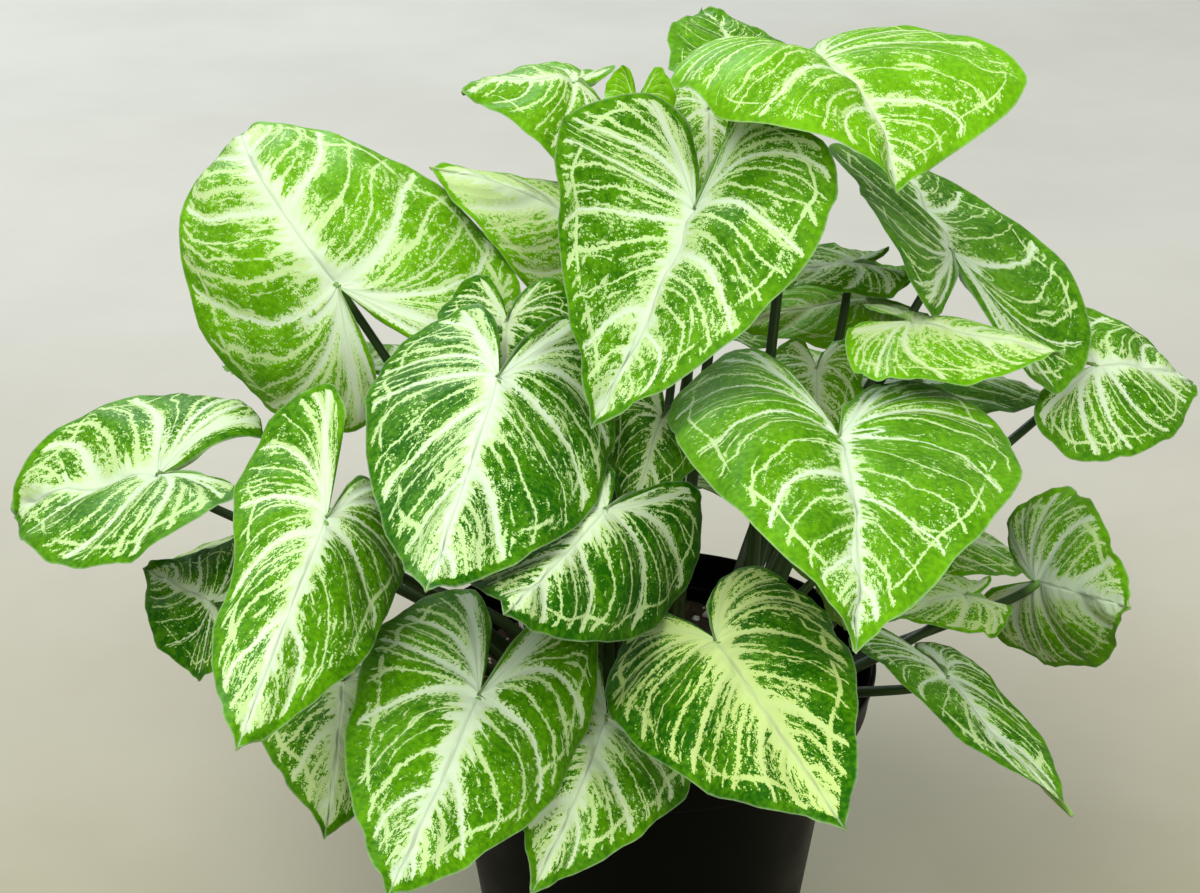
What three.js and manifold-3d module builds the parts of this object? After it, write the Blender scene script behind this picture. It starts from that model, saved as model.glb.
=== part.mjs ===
// A potted arrowhead plant: heart-shaped leaves on long petioles, in a black nursery pot.
// Millimetres, +Z up, origin in the middle of the pot's underside, the plant's front toward -Y.
import * as THREE from 'three';
import Module from 'manifold-3d';

const wasm = await Module();
wasm.setup();

// ---- driving dimensions -------------------------------------------------------------------

const POT_HEIGHT = 170;
const POT_BASE_RADIUS = 60;
const POT_SHOULDER_RADIUS = 81; // outside, just under the collar
const COLLAR_BOTTOM = 152;
const COLLAR_RADIUS = 92;
const RIM_RADIUS = 95;
const POT_WALL = 2.4;
const POT_SIDES = 48;
const RIM_BEVEL = 1;
const COLLAR_STEP = 0.2; // the wall is this much thicker where it turns out to the collar
const DRAIN_COUNT = 8;
const DRAIN_RADIUS = 5;
const DRAIN_CIRCLE = 42;
const DRAIN_SIDES = 12;

const SOIL_LEVEL = 154;
const SOIL_RISE = 3; // the middle stands this much above the edge
const SOIL_CROWN = { out: 0.6, up: 0.7 }; // this far out it has fallen to this share of the rise
const SOIL_GAP = 0.3;
const SOIL_SHOULDER_GAP = 1.1; // under the collar's step the soil is further from the wall
const SOIL_SIDES = 48;

const BLADE_THICKNESS = 0.9;
const MARGIN_WAVE = 2;
const WAVES_PER_SIDE = 3;
const SLIVER = 0.05; // facets narrower than this are closed up where the petiole joins
const LEFT_WAVE_SHIFT = 0.37; // of a wave, so that the halves aren't mirrored
const RIB_SWEEP = 1.7; // the lateral ribs leave the midrib behind the margin that they run to
const BEND_STEPS = 12; // a bent rib is added up from this many short straight pieces
const WAIST_REACH = 0.3; // how far a waist is felt along the margin, as a share of the length
const OUTLINE_STEPS = 8; // along half the margin, tip to notch
const ACROSS_STEPS = 3; // midrib to margin

const PETIOLE_BASE_RADIUS = 2.8;
const PETIOLE_TOP_RADIUS = 1.9;
const PETIOLE_END_RADIUS = 1.1; // inside the blade
const PETIOLE_INSET = 1.5; // it ends this far past the notch, under the midrib
const PETIOLE_SIDES = 5;
const PETIOLE_STEPS = 5;
const PETIOLE_DEPTH = 10; // how far a petiole stands in its hole in the soil
const HOLE_GAP = 0.4;
const SHOOT_RADIUS = 7.5; // the petioles of a shoot stand round it at this distance
const SHOOT_SPACING = 6.8; // between neighbouring petioles, at least
const SPREAD_ROUNDS = 200; // passes that push crowded petioles apart

// A petiole leaves the soil and meets the blade along mixes of directions, and keeps each for a
// share of its reach.
const RISE = { straight: 0.6, up: 0.55, share: 0.33 };
const ENTRY = { straight: 0.6, midrib: 0.2, up: 0.35, share: 0.28 };

// Where each shoot comes up through the soil.
const SHOOTS = {
  left: [-42, -8],
  left_back: [-36, 24],
  front_left: [-20, -40],
  front_right: [20, -40],
  middle: [-8, 8],
  mid_back: [8, 40],
  back: [-22, 50],
  right: [36, 4],
  far_right: [52, -22],
  back_right: [42, 40],
};

// Half a leaf's margin, tip to notch: [along, across]. Along is 1 at the tip and -1 at the end
// of the basal lobe, across is 1 where the half is widest.
const HALF_MARGIN = [
  [1.0, 0.0], [0.945, 0.085], [0.85, 0.24], [0.69, 0.47], [0.49, 0.71], [0.24, 0.9],
  [-0.05, 0.99], [-0.35, 1.0], [-0.66, 0.9], [-0.9, 0.7], [-1.0, 0.47], [-0.88, 0.26],
  [-0.55, 0.11], [-0.22, 0.035], [0.0, 0.0],
];

// One row a leaf: name, shoot, [x, y, z] where the petiole meets the blade, [heading, pitch,
// roll] in degrees, [length to the tip, width, lobe as a share of the length], and its bends in
// degrees: droop along the midrib and hook at its tip, fold and cup across it, lift of the lobes
// and curl at their ends, twist to the tip. A waist narrows half the blade by a share, at a place
// from 1 at the tip to -1 at the lobe's end. Pairs are the leaf's own left and right.
const LEAVES = [
  ['far_left', 'left', [-187, -20, 259], [171, -15, -15], [66, 136, 0.58],
    { droop: -10, hook: 45, fold: 30, cup: [40, 82], lift: [-28, 30], curl: [0, -140],
      twist: -18 }],
  ['small_left', 'left', [-163, -56, 223], [130, -7, -45], [47, 56, 0.48],
    { droop: -10, fold: 2, cup: [25, 5], lift: [0, 15], twist: 14 }],
  ['left_front', 'left', [-111, -110, 284], [-101, -18, -28], [108, 78, 0.5],
    { droop: -5, fold: -10, cup: [33, 48], lift: [-35, 22], twist: 14,
      waist: [[0, 0], [0.25, 0.3]] }],
  ['low_left', 'left', [-115, -60, 191], [-84, 8, -15], [86, 74, 0.44],
    { droop: 38, fold: -10, cup: [40, 40] }],
  ['front_left', 'front_left', [-59, -130, 226], [-104, -11, -11], [104, 86, 0.54],
    { droop: -8, cup: [56, 0], lift: [30, -10] }],
  ['front_mid', 'front_left', [-15, -96, 197], [-98, 3, -30], [90, 80, 0.43],
    { droop: 36, fold: 8, cup: [23, 24] }],
  ['front_right', 'front_right', [23, -120, 242], [-74, 0, 30], [103, 92, 0.46],
    { droop: 19, fold: -2, cup: [58, 14], lift: [-10, -12] }],
  ['centre_low', 'front_left', [-15, -94, 280], [-112, -2, -14], [92, 94, 0.43],
    { droop: -10, fold: -22, cup: [55, 20], lift: [20, 0], twist: -8 }],
  ['mid_left', 'front_left', [-53, -70, 320], [-100, -18, -7], [117, 111, 0.46],
    { droop: -10, fold: -24, cup: [32, 10], lift: [5, -15], twist: 14,
      waist: [[0, 0], [0.15, 0.6]] }],
  ['centre_top', 'middle', [18, 0, 359], [-114, -35, 8], [106, 118, 0.42],
    { droop: -10, fold: 32, cup: [60, -30], lift: [55, 22], twist: -28 }],
  ['top_right', 'right', [65, 30, 408], [-60, 2, -13], [75, 127, 0.43],
    { droop: 62, fold: 26, cup: [18, 88], lift: [-18, -10], curl: [0, -30], twist: 4,
      waist: [[-0.6, 0.65], [-0.25, 0.5]] }],
  ['top_back', 'mid_back', [44, 120, 384], [106, 17, 8], [58, 70, 0.34],
    { droop: 14, fold: 10, cup: [24, 26] }],
  ['top_left', 'back', [-27, 95, 383], [-170, 15, -12], [48, 95, 0.4],
    { droop: 40, fold: -5, cup: [50, 30], lift: [-18, 18], twist: 8 }],
  ['back_centre', 'middle', [-17, 45, 334], [-161, 40, -50], [75, 74, 0.35],
    { droop: 50, fold: -28, cup: [24, 18], lift: [-12, -30], twist: 14 }],
  ['back_left', 'left_back', [-118, 10, 325], [156, 47, -62], [118, 137, 0.46],
    { droop: 85, fold: 2, cup: [55, 70], lift: [-28, 24], twist: 15 }],
  ['right_upper', 'back_right', [125, 62, 322], [95, 10, 40], [112, 130, 0.6],
    { droop: 14, fold: 6, cup: [14, -18], lift: [-24, -6], twist: -22,
      waist: [[0.15, -0.2], [0, 0]] }],
  ['right_low', 'right', [101, -4, 316], [-14, -6, 12], [58, 78, 0.38],
    { droop: 4, cup: [100, 8] }],
  ['far_right', 'far_right', [188, 58, 273], [22, -6, 35], [64, 86, 0.56],
    { droop: 35, cup: [33, 14], lift: [2, -20], twist: -5 }],
  ['right_lower', 'far_right', [156, -10, 208], [-65, 16, 72], [66, 80, 0.5],
    { droop: -8, fold: -10, cup: [12, 45], lift: [0, 18], twist: 6 }],
  ['right_droop', 'far_right', [110, -84, 207], [-71, -5, -25], [90, 60, 0.45],
    { droop: -4, fold: 6, cup: [12, 27], lift: [-27, -18], twist: -10 }],
  ['centre_right', 'front_right', [68, -70, 297], [-88, 5, -16], [121, 132, 0.55],
    { droop: 33, fold: 26, cup: [30, 88], lift: [-3, 0], twist: 2 }],
  ['streaked', 'back_right', [86, 66, 315], [200, 4, -8], [50, 44, 0.42], { droop: 20 }],
  ['inner_right', 'right', [70, 36, 280], [-92, -30, 0], [38, 40, 0.42], { droop: 20 }],
  ['under_right', 'front_right', [66, -60, 240], [40, -66, 0], [34, 36, 0.42], { droop: 0 }],
  ['pale_right', 'far_right', [126, -22, 208], [192, 0, -2], [48, 46, 0.3], { droop: 5 }],
  ['backlit', 'back_right', [95, 85, 292], [185, -4, -25], [58, 56, 0.42], { droop: 15 }],
  ['sinus_left', 'middle', [-52, -15, 320], [-92, -30, 0], [54, 54, 0.42], { droop: 20 }],
  ['dark_centre', 'middle', [6, -26, 285], [-112, -34, 0], [44, 46, 0.42], { droop: 20 }],
  ['yellow_top', 'back', [-3, 72, 378], [-100, -35, 0], [34, 30, 0.55],
    { droop: 10, lift: [34, 34] }],
  ['behind_sinus', 'mid_back', [27, 84, 374], [-92, -40, 0], [44, 36, 0.36], { droop: 10 }],
  ['back_a', 'left_back', [-122, 85, 262], [145, 4, 0], [82, 82, 0.44], { droop: 35 }],
  ['back_b', 'back', [-52, 132, 258], [106, 2, 0], [90, 88, 0.46], { droop: 38 }],
  ['back_c', 'mid_back', [18, 140, 268], [88, 0, 0], [90, 90, 0.44], { droop: 40 }],
  ['back_d', 'back_right', [76, 130, 240], [66, 2, 0], [84, 82, 0.42], { droop: 36 }],
  ['back_e', 'back_right', [122, 92, 252], [28, 0, 0], [80, 74, 0.44], { droop: 36 }],
  ['back_f', 'left_back', [-140, 40, 205], [168, -6, 0], [72, 70, 0.42], { droop: 30 }],
  ['back_g', 'back', [-77, 95, 200], [128, -10, 0], [70, 68, 0.42], { droop: 30 }],
  ['back_h', 'mid_back', [16, 112, 198], [92, -10, 0], [72, 62, 0.42], { droop: 30 }],
  ['back_i', 'far_right', [124, 66, 190], [22, -8, 0], [68, 68, 0.42], { droop: 30 }],
];

const UNBENT = {
  droop: 20, hook: 0, fold: 0, cup: [20, 20], lift: [0, 0], curl: [0, 0], twist: 0,
  waist: [[0, 0], [0, 0]],
};

const BLACK_PLASTIC = new THREE.MeshStandardMaterial({ color: 0x161616, roughness: 0.45 });
const POTTING_SOIL = new THREE.MeshStandardMaterial({ color: 0x3a2a1e, roughness: 0.95 });
const LEAF_GREEN = new THREE.MeshStandardMaterial({ color: 0x5f9a3c, roughness: 0.5 });

// ---- solids from points and triangles -----------------------------------------------------

const rad = (degrees) => (degrees * Math.PI) / 180;

// A mesh kept as { points: [[x, y, z]], faces: [[a, b, c]] } becomes a solid for cuts and joins.
function toSolid(mesh) {
  const vertProperties = new Float32Array(mesh.points.flat());
  const triVerts = new Uint32Array(mesh.faces.flat());
  const solid = new wasm.Manifold(new wasm.Mesh({ numProp: 3, vertProperties, triVerts }));
  if (solid.volume() > 0) {
    return solid;
  }
  return new wasm.Manifold(new wasm.Mesh({
    numProp: 3,
    vertProperties,
    triVerts: new Uint32Array(mesh.faces.map(([a, b, c]) => [a, c, b]).flat()),
  }));
}

function toMesh(name, solid, material) {
  const out = solid.getMesh();
  const geometry = new THREE.BufferGeometry();
  const position = new Float32Array(out.numVert * 3);
  for (let i = 0; i < out.numVert; i += 1) {
    for (let k = 0; k < 3; k += 1) {
      position[3 * i + k] = out.vertProperties[i * out.numProp + k];
    }
  }
  geometry.setAttribute('position', new THREE.BufferAttribute(position, 3));
  geometry.setIndex(new THREE.BufferAttribute(new Uint32Array(out.triVerts), 1));
  geometry.computeVertexNormals();
  const mesh = new THREE.Mesh(geometry, material);
  mesh.name = name;
  return mesh;
}

// A closed ring profile [[radius, z], ...] turned about the Z axis.
function turned(profile, sides) {
  const points = [];
  const faces = [];
  const rings = profile.map(([radius, z]) => {
    const first = points.length;
    const count = radius > 0 ? sides : 1;
    for (let i = 0; i < count; i += 1) {
      const a = (2 * Math.PI * i) / sides;
      points.push([radius * Math.cos(a), radius * Math.sin(a), z]);
    }
    return { first, count };
  });
  const at = (ring, i) => ring.first + (i % ring.count);
  for (let k = 0; k < rings.length; k += 1) {
    const lower = rings[k];
    const upper = rings[(k + 1) % rings.length];
    if (lower.count === 1 && upper.count === 1) {
      continue;
    }
    for (let i = 0; i < sides; i += 1) {
      const quad = [at(lower, i), at(lower, i + 1), at(upper, i + 1), at(upper, i)];
      if (lower.count > 1) {
        faces.push([quad[0], quad[1], quad[2]]);
      }
      if (upper.count > 1) {
        faces.push([quad[0], quad[2], quad[3]]);
      }
    }
  }
  return toSolid({ points, faces });
}

// A closed tube along a list of centres, with a radius for each. The curve keeps near a plane,
// whose normal is across.
function tube(centres, radii, sides, across) {
  const points = [];
  const faces = [];
  centres.forEach((centre, k) => {
    const before = centres[Math.max(k - 1, 0)];
    const after = centres[Math.min(k + 1, centres.length - 1)];
    const along = after.clone().sub(before).normalize();
    const a = across.clone().addScaledVector(along, -across.dot(along)).normalize();
    const b = new THREE.Vector3().crossVectors(along, a);
    for (let i = 0; i < sides; i += 1) {
      const turn = (2 * Math.PI * i) / sides;
      points.push(centre.clone()
        .addScaledVector(a, radii[k] * Math.cos(turn))
        .addScaledVector(b, radii[k] * Math.sin(turn))
        .toArray());
    }
  });
  const last = (centres.length - 1) * sides;
  for (let k = 0; k < centres.length - 1; k += 1) {
    for (let i = 0; i < sides; i += 1) {
      const j = (i + 1) % sides;
      const [p, q] = [k * sides, (k + 1) * sides];
      faces.push([p + i, p + j, q + j], [p + i, q + j, q + i]);
    }
  }
  for (let i = 1; i < sides - 1; i += 1) {
    faces.push([0, i + 1, i], [last, last + i, last + i + 1]);
  }
  return toSolid({ points, faces });
}

// ---- one leaf -------------------------------------------------------------------------------

// A smooth curve through the points of the half margin.
function marginPoint(t) {
  const last = HALF_MARGIN.length - 1;
  const s = Math.min(Math.max(t, 0), 1) * last;
  const i = Math.min(Math.floor(s), last - 1);
  const f = s - i;
  const p = [i - 1, i, i + 1, i + 2].map((k) => HALF_MARGIN[Math.min(Math.max(k, 0), last)]);
  return [0, 1].map((k) => 0.5 * (2 * p[1][k] + (p[2][k] - p[0][k]) * f
    + (2 * p[0][k] - 5 * p[1][k] + 4 * p[2][k] - p[3][k]) * f * f
    + (3 * p[1][k] - p[0][k] - 3 * p[2][k] + p[3][k]) * f * f * f));
}

// A bent rib of the given length: how far along and how far up its point at x has come, and
// its slope there. The rib turns evenly by one angle, and curls by the other toward its end.
function bentRib(x, length, turn, curl) {
  const slope = (f) => turn * f + curl * f ** 3;
  const reach = Math.min(x / length, 1);
  const step = (reach * length) / BEND_STEPS;
  let along = 0;
  let up = 0;
  for (let i = 0; i < BEND_STEPS; i += 1) {
    const here = slope((reach * (i + 0.5)) / BEND_STEPS);
    along += Math.cos(here) * step;
    up += Math.sin(here) * step;
  }
  return [along, up, slope(reach)];
}

function leafFrame(leaf) {
  const [h, p, r] = leaf.turn.map(rad);
  const x = new THREE.Vector3(Math.cos(h) * Math.cos(p), Math.sin(h) * Math.cos(p), Math.sin(p));
  const level = new THREE.Vector3(-Math.sin(h), Math.cos(h), 0);
  const raised = new THREE.Vector3().crossVectors(x, level);
  const y = level.multiplyScalar(Math.cos(r)).addScaledVector(raised, Math.sin(r));
  const z = new THREE.Vector3().crossVectors(x, y);
  return { x, y, z };
}

// The blade's point at t along the half margin and w of the way out from the midrib.
function bladePoint(leaf, frame, t, w, side) {
  const { length, width, lobe } = leaf;
  const pick = (pair) => pair[side > 0 ? 0 : 1];
  const [mx, my] = marginPoint(t);
  const x = mx > 0 ? mx * length : mx * lobe * length;
  const root = x > 0 ? length * (x / length) ** RIB_SWEEP : 0; // where this rib leaves the midrib
  const along = root + (x - root) * w;
  const [waist, place] = pick(leaf.waist);
  const narrowing = 1 - waist * Math.exp(-(((mx - place) / WAIST_REACH) ** 2));
  const across = Math.abs(my * width * 0.5 * w * narrowing);

  const [px, pz, slope] = along >= 0
    ? bentRib(along, length, -rad(leaf.droop), -rad(leaf.hook))
    : bentRib(-along, length * lobe, rad(pick(leaf.lift)), rad(pick(leaf.curl)));
  const lx = along >= 0 ? px : -px;
  const angle = along >= 0 ? slope : -slope;

  const fold = rad(leaf.fold);
  const bend = rad(pick(leaf.cup)) / (width / 2);
  const end = fold - bend * across;
  const out = bend === 0 ? across * Math.cos(fold) : (Math.sin(fold) - Math.sin(end)) / bend;
  const arch = bend === 0 ? across * Math.sin(fold) : (Math.cos(end) - Math.cos(fold)) / bend;
  const phase = WAVES_PER_SIDE * t + (side > 0 ? LEFT_WAVE_SHIFT : 0);
  const up = arch + MARGIN_WAVE * w * w * Math.sin(2 * Math.PI * phase);

  const twist = (rad(leaf.twist) * along) / length;
  const ly = side * out * Math.cos(twist) - up * Math.sin(twist);
  const lz = side * out * Math.sin(twist) + up * Math.cos(twist);
  return new THREE.Vector3(...leaf.at)
    .addScaledVector(frame.x, lx - Math.sin(angle) * lz)
    .addScaledVector(frame.y, ly)
    .addScaledVector(frame.z, pz + Math.cos(angle) * lz);
}

// The blade as a thin closed shell, its two faces split alike.
function blade(leaf, frame) {
  const points = [];
  const faces = [];
  const keys = new Map();
  const vertex = (i, j, side) => {
    const t = i / OUTLINE_STEPS;
    const onMidrib = j === 0 || i === 0 || i === OUTLINE_STEPS;
    const atNotch = i === OUTLINE_STEPS || (j === 0 && marginPoint(t)[0] <= 0);
    let key = `${i} ${j} ${side}`;
    if (atNotch) {
      key = 'notch';
    } else if (onMidrib) {
      key = `rib ${i}`;
    }
    if (!keys.has(key)) {
      keys.set(key, points.length);
      points.push(atNotch ? new THREE.Vector3(...leaf.at)
        : bladePoint(leaf, frame, t, j / ACROSS_STEPS, side));
    }
    return keys.get(key);
  };
  const add = (a, b, c) => {
    if (a !== b && b !== c && a !== c) {
      faces.push([a, b, c]);
    }
  };
  for (const side of [1, -1]) {
    for (let i = 0; i < OUTLINE_STEPS; i += 1) {
      for (let j = 0; j < ACROSS_STEPS; j += 1) {
        const a = vertex(i, j, side);
        const b = vertex(i + 1, j, side);
        const c = vertex(i + 1, j + 1, side);
        const d = vertex(i, j + 1, side);
        if (side > 0) {
          add(a, b, c);
          add(a, c, d);
        } else {
          add(a, c, b);
          add(a, d, c);
        }
      }
    }
  }
  const normals = points.map(() => new THREE.Vector3());
  for (const [a, b, c] of faces) {
    const n = new THREE.Vector3().crossVectors(
      points[b].clone().sub(points[a]),
      points[c].clone().sub(points[a]),
    );
    [a, b, c].forEach((k) => normals[k].add(n));
  }
  const count = points.length;
  const shell = { points: [], faces: [] };
  for (const half of [0.5, -0.5]) {
    points.forEach((point, k) => {
      const n = normals[k].clone().normalize();
      shell.points.push(point.clone().addScaledVector(n, half * BLADE_THICKNESS).toArray());
    });
  }
  for (const [a, b, c] of faces) {
    shell.faces.push([a, b, c], [a + count, c + count, b + count]);
  }
  // the rim joins the edges that only one triangle uses
  const edges = new Map();
  for (const [a, b, c] of faces) {
    for (const [p, q] of [[a, b], [b, c], [c, a]]) {
      edges.set(`${p} ${q}`, [p, q]);
    }
  }
  for (const [p, q] of edges.values()) {
    if (!edges.has(`${q} ${p}`)) {
      shell.faces.push([q, p, p + count], [q, p + count, q + count]);
    }
  }
  return toSolid(shell);
}

// The petiole's centre line: up out of the soil, over, and into the blade from below.
function petioleCurve(leaf, frame, root) {
  const top = new THREE.Vector3(...leaf.at).addScaledVector(frame.x, PETIOLE_INSET);
  const reach = top.distanceTo(root);
  const straight = top.clone().sub(root).normalize();
  const rise = straight.clone().multiplyScalar(RISE.straight)
    .add(new THREE.Vector3(0, 0, RISE.up))
    .normalize();
  const enter = straight.clone().multiplyScalar(ENTRY.straight)
    .addScaledVector(frame.x, ENTRY.midrib)
    .addScaledVector(frame.z, ENTRY.up)
    .normalize();
  return new THREE.CubicBezierCurve3(
    root,
    root.clone().addScaledVector(rise, reach * RISE.share),
    top.clone().addScaledVector(enter, -reach * ENTRY.share),
    top,
  );
}

// The petiole down to its foot in the soil, or the hole for it.
function petiole(leaf, frame, root, asHole) {
  const curve = petioleCurve(leaf, frame, root);
  const grow = asHole ? HOLE_GAP : 0;
  const down = new THREE.Vector3(0, 0, -(PETIOLE_DEPTH + grow));
  const centres = [root.clone().add(down)];
  const radii = [PETIOLE_BASE_RADIUS + grow];
  const steps = asHole ? 1 : PETIOLE_STEPS;
  for (let k = 0; k <= steps; k += 1) {
    const f = k / PETIOLE_STEPS;
    const taper = PETIOLE_BASE_RADIUS + (PETIOLE_TOP_RADIUS - PETIOLE_BASE_RADIUS) * f;
    centres.push(curve.getPoint(f));
    radii.push(k === PETIOLE_STEPS ? PETIOLE_END_RADIUS : taper + grow);
  }
  const across = new THREE.Vector3(root.y - leaf.at[1], leaf.at[0] - root.x, 0).normalize();
  return tube(centres, radii, PETIOLE_SIDES, across);
}

// ---- the plant ------------------------------------------------------------------------------

const leaves = LEAVES.map(([name, shoot, at, turn, [length, width, lobe], bends]) => ({
  name, shoot, at, turn, length, width, lobe,
  ...UNBENT, ...bends,
}));

// A shoot's petioles stand round it, each on the side that it leans to, pushed along the ring
// until they clear each other.
function petioleRoots() {
  const roots = new Map();
  for (const [shoot, [cx, cy]] of Object.entries(SHOOTS)) {
    const bearing = (leaf) => Math.atan2(leaf.at[1] - cy, leaf.at[0] - cx);
    const own = leaves.filter((leaf) => leaf.shoot === shoot);
    own.sort((a, b) => bearing(a) - bearing(b));
    const angles = own.map(bearing);
    const count = own.length;
    const least = Math.min(
      2 * Math.asin(SHOOT_SPACING / (2 * SHOOT_RADIUS)),
      (2 * Math.PI) / count,
    );
    for (let round = 0; count > 1 && round < SPREAD_ROUNDS; round += 1) {
      for (let k = 0; k < count; k += 1) {
        const next = (k + 1) % count;
        const gap = angles[next] - angles[k] + (next === 0 ? 2 * Math.PI : 0);
        if (gap < least) {
          angles[k] -= (least - gap) / 2;
          angles[next] += (least - gap) / 2;
        }
      }
    }
    own.forEach((leaf, k) => {
      roots.set(leaf.name, new THREE.Vector3(
        cx + SHOOT_RADIUS * Math.cos(angles[k]),
        cy + SHOOT_RADIUS * Math.sin(angles[k]),
        SOIL_LEVEL,
      ));
    });
  }
  return roots;
}

const plant = new THREE.Group();
const roots = petioleRoots();

// The pot: tapered wall, a shoulder stepping out to a tall collar, a flat floor with drains.
let pot = turned([
  [0, 0],
  [POT_BASE_RADIUS, 0],
  [POT_SHOULDER_RADIUS, COLLAR_BOTTOM],
  [COLLAR_RADIUS, COLLAR_BOTTOM],
  [RIM_RADIUS - RIM_BEVEL, POT_HEIGHT - 2 * RIM_BEVEL],
  [RIM_RADIUS, POT_HEIGHT - RIM_BEVEL],
  [RIM_RADIUS - RIM_BEVEL / 2, POT_HEIGHT],
  [RIM_RADIUS - POT_WALL, POT_HEIGHT],
  [COLLAR_RADIUS - POT_WALL, COLLAR_BOTTOM + POT_WALL],
  [POT_SHOULDER_RADIUS - POT_WALL - COLLAR_STEP, COLLAR_BOTTOM + POT_WALL],
  [POT_BASE_RADIUS - POT_WALL, POT_WALL],
  [0, POT_WALL],
], POT_SIDES);
for (let i = 0; i < DRAIN_COUNT; i += 1) {
  const a = (2 * Math.PI * (i + 0.5)) / DRAIN_COUNT;
  const hole = turned([
    [0, -POT_WALL],
    [DRAIN_RADIUS, -POT_WALL],
    [DRAIN_RADIUS, 2 * POT_WALL],
    [0, 2 * POT_WALL],
  ], DRAIN_SIDES).translate([DRAIN_CIRCLE * Math.cos(a), DRAIN_CIRCLE * Math.sin(a), 0]);
  pot = pot.subtract(hole);
}
plant.add(toMesh('pot', pot, BLACK_PLASTIC));

// The soil fills the pot, with a hole for each petiole.
const soilFoot = POT_WALL + SOIL_GAP;
const shoulder = POT_SHOULDER_RADIUS - POT_WALL - SOIL_SHOULDER_GAP;
let soil = turned([
  [0, soilFoot],
  [POT_BASE_RADIUS - POT_WALL - SOIL_GAP, soilFoot],
  [shoulder, COLLAR_BOTTOM],
  [shoulder, SOIL_LEVEL],
  [shoulder * SOIL_CROWN.out, SOIL_LEVEL + SOIL_RISE * SOIL_CROWN.up],
  [0, SOIL_LEVEL + SOIL_RISE],
], SOIL_SIDES);

for (const leaf of leaves) {
  const frame = leafFrame(leaf);
  const root = roots.get(leaf.name);
  soil = soil.subtract(petiole(leaf, frame, root, true));
  const whole = blade(leaf, frame).add(petiole(leaf, frame, root, false)).simplify(SLIVER);
  plant.add(toMesh(`leaf_${leaf.name}`, whole, LEAF_GREEN.clone()));
}
plant.add(toMesh('soil', soil, POTTING_SOIL));

export default plant;
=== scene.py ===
import math

import bmesh
import bpy
import numpy as np
from mathutils import Euler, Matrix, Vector, noise


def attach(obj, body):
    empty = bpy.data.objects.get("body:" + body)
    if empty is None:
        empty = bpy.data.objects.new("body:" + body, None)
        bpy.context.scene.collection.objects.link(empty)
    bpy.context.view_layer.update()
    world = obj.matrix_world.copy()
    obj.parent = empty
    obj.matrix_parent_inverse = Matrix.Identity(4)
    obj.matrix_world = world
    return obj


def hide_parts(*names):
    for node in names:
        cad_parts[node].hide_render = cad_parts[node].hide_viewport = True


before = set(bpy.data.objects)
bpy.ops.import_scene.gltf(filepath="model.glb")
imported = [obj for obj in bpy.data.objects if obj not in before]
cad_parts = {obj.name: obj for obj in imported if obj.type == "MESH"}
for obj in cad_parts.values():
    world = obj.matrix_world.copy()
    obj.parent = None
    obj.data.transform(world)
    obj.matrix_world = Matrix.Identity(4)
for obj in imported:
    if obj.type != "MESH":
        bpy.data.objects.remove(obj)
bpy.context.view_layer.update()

MM = 0.001  # the tables below are in millimetres, the scene is in metres

# ---- sizes --------------------------------------------------------------------------------------

POT_HEIGHT = 170
POT_BASE_RADIUS = 60
POT_SHOULDER_RADIUS = 81
COLLAR_BOTTOM = 152
COLLAR_RADIUS = 92
RIM_RADIUS = 95
RIM_BAND = 3
RIM_STEP = 1.2  # how far the rim's band stands out over the collar
RIM_BEVEL = 1
POT_WALL = 2.4
SHOULDER_LEDGE = 0.2  # how much thicker the wall is at the collar's foot
POT_SIDES = 144
DRAIN_COUNT = 8
DRAIN_RADIUS = 5
DRAIN_CIRCLE = 42
DRAIN_SIDES = 32

SOIL_LEVEL = 154
SOIL_RISE = 3
SOIL_CRUMBS = 1.5  # how rough the soil's top is
SOIL_RADIUS = 77.5
SOIL_SHOULDER = COLLAR_BOTTOM - 3  # from here down the soil narrows with the pot
SOIL_FOOT_RADIUS = POT_BASE_RADIUS - POT_WALL - 0.4  # its foot keeps clear of the pot's wall
SOIL_FOOT = POT_WALL + 0.3  # and of its floor
SOIL_RINGS = 56
SOIL_SECTORS = 132
CRUMB_INSET = 2.5  # grains keep this far in from the soil's edge
CRUMB_CLEARANCE = 4  # and this far, with their own size, from a petiole's middle

BLADE_THICKNESS = 0.55
MARGIN_WAVE = 2
WAVES_PER_SIDE = 3
LEFT_WAVE_SHIFT = 0.37
SCALLOP_DEPTH = 1.3
RIB_SWEEP = 1.7
BEND_STEPS = 12
WAIST_REACH = 0.3
KEEL_WIDTH = 1.9
KEEL_DEPTH = 1.1  # how far the midrib stands out under the blade, beside the notch
KEEL_RUN = 130  # it is a millimetre less this far out
OUTLINE_STEPS = 60
ACROSS_STEPS = 20

RIBS = 7.6  # main lateral ribs in a half blade
FINE_RIBS = 3  # fine ribs for each main one
HAIR_RIBS = 7  # and hair-thin ones
RIB_CURL = 0.075  # how far a rib bends toward the tip, as a share of the half margin
RIGHT_RIBS = 20  # added to the ribs' count on the right half, so that the halves differ
LOBE_START = 0.41  # where on the half margin the rib ends that leaves the notch straight across
LOBE_VEIN = 0.715  # where the lobe's own vein ends, which the lobe's ribs leave one by one
LOBE_PEEL = 0.8  # how long they stay beside it
RING_INSET = 7.6  # how far inside the margin the ring of vein runs
PATTERN_WIDTH = 90  # the pattern is drawn for a blade this wide, and scaled to the others
SEED_STEP = 50  # how far apart the leaves stand in the space that their specks are cut from

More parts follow.
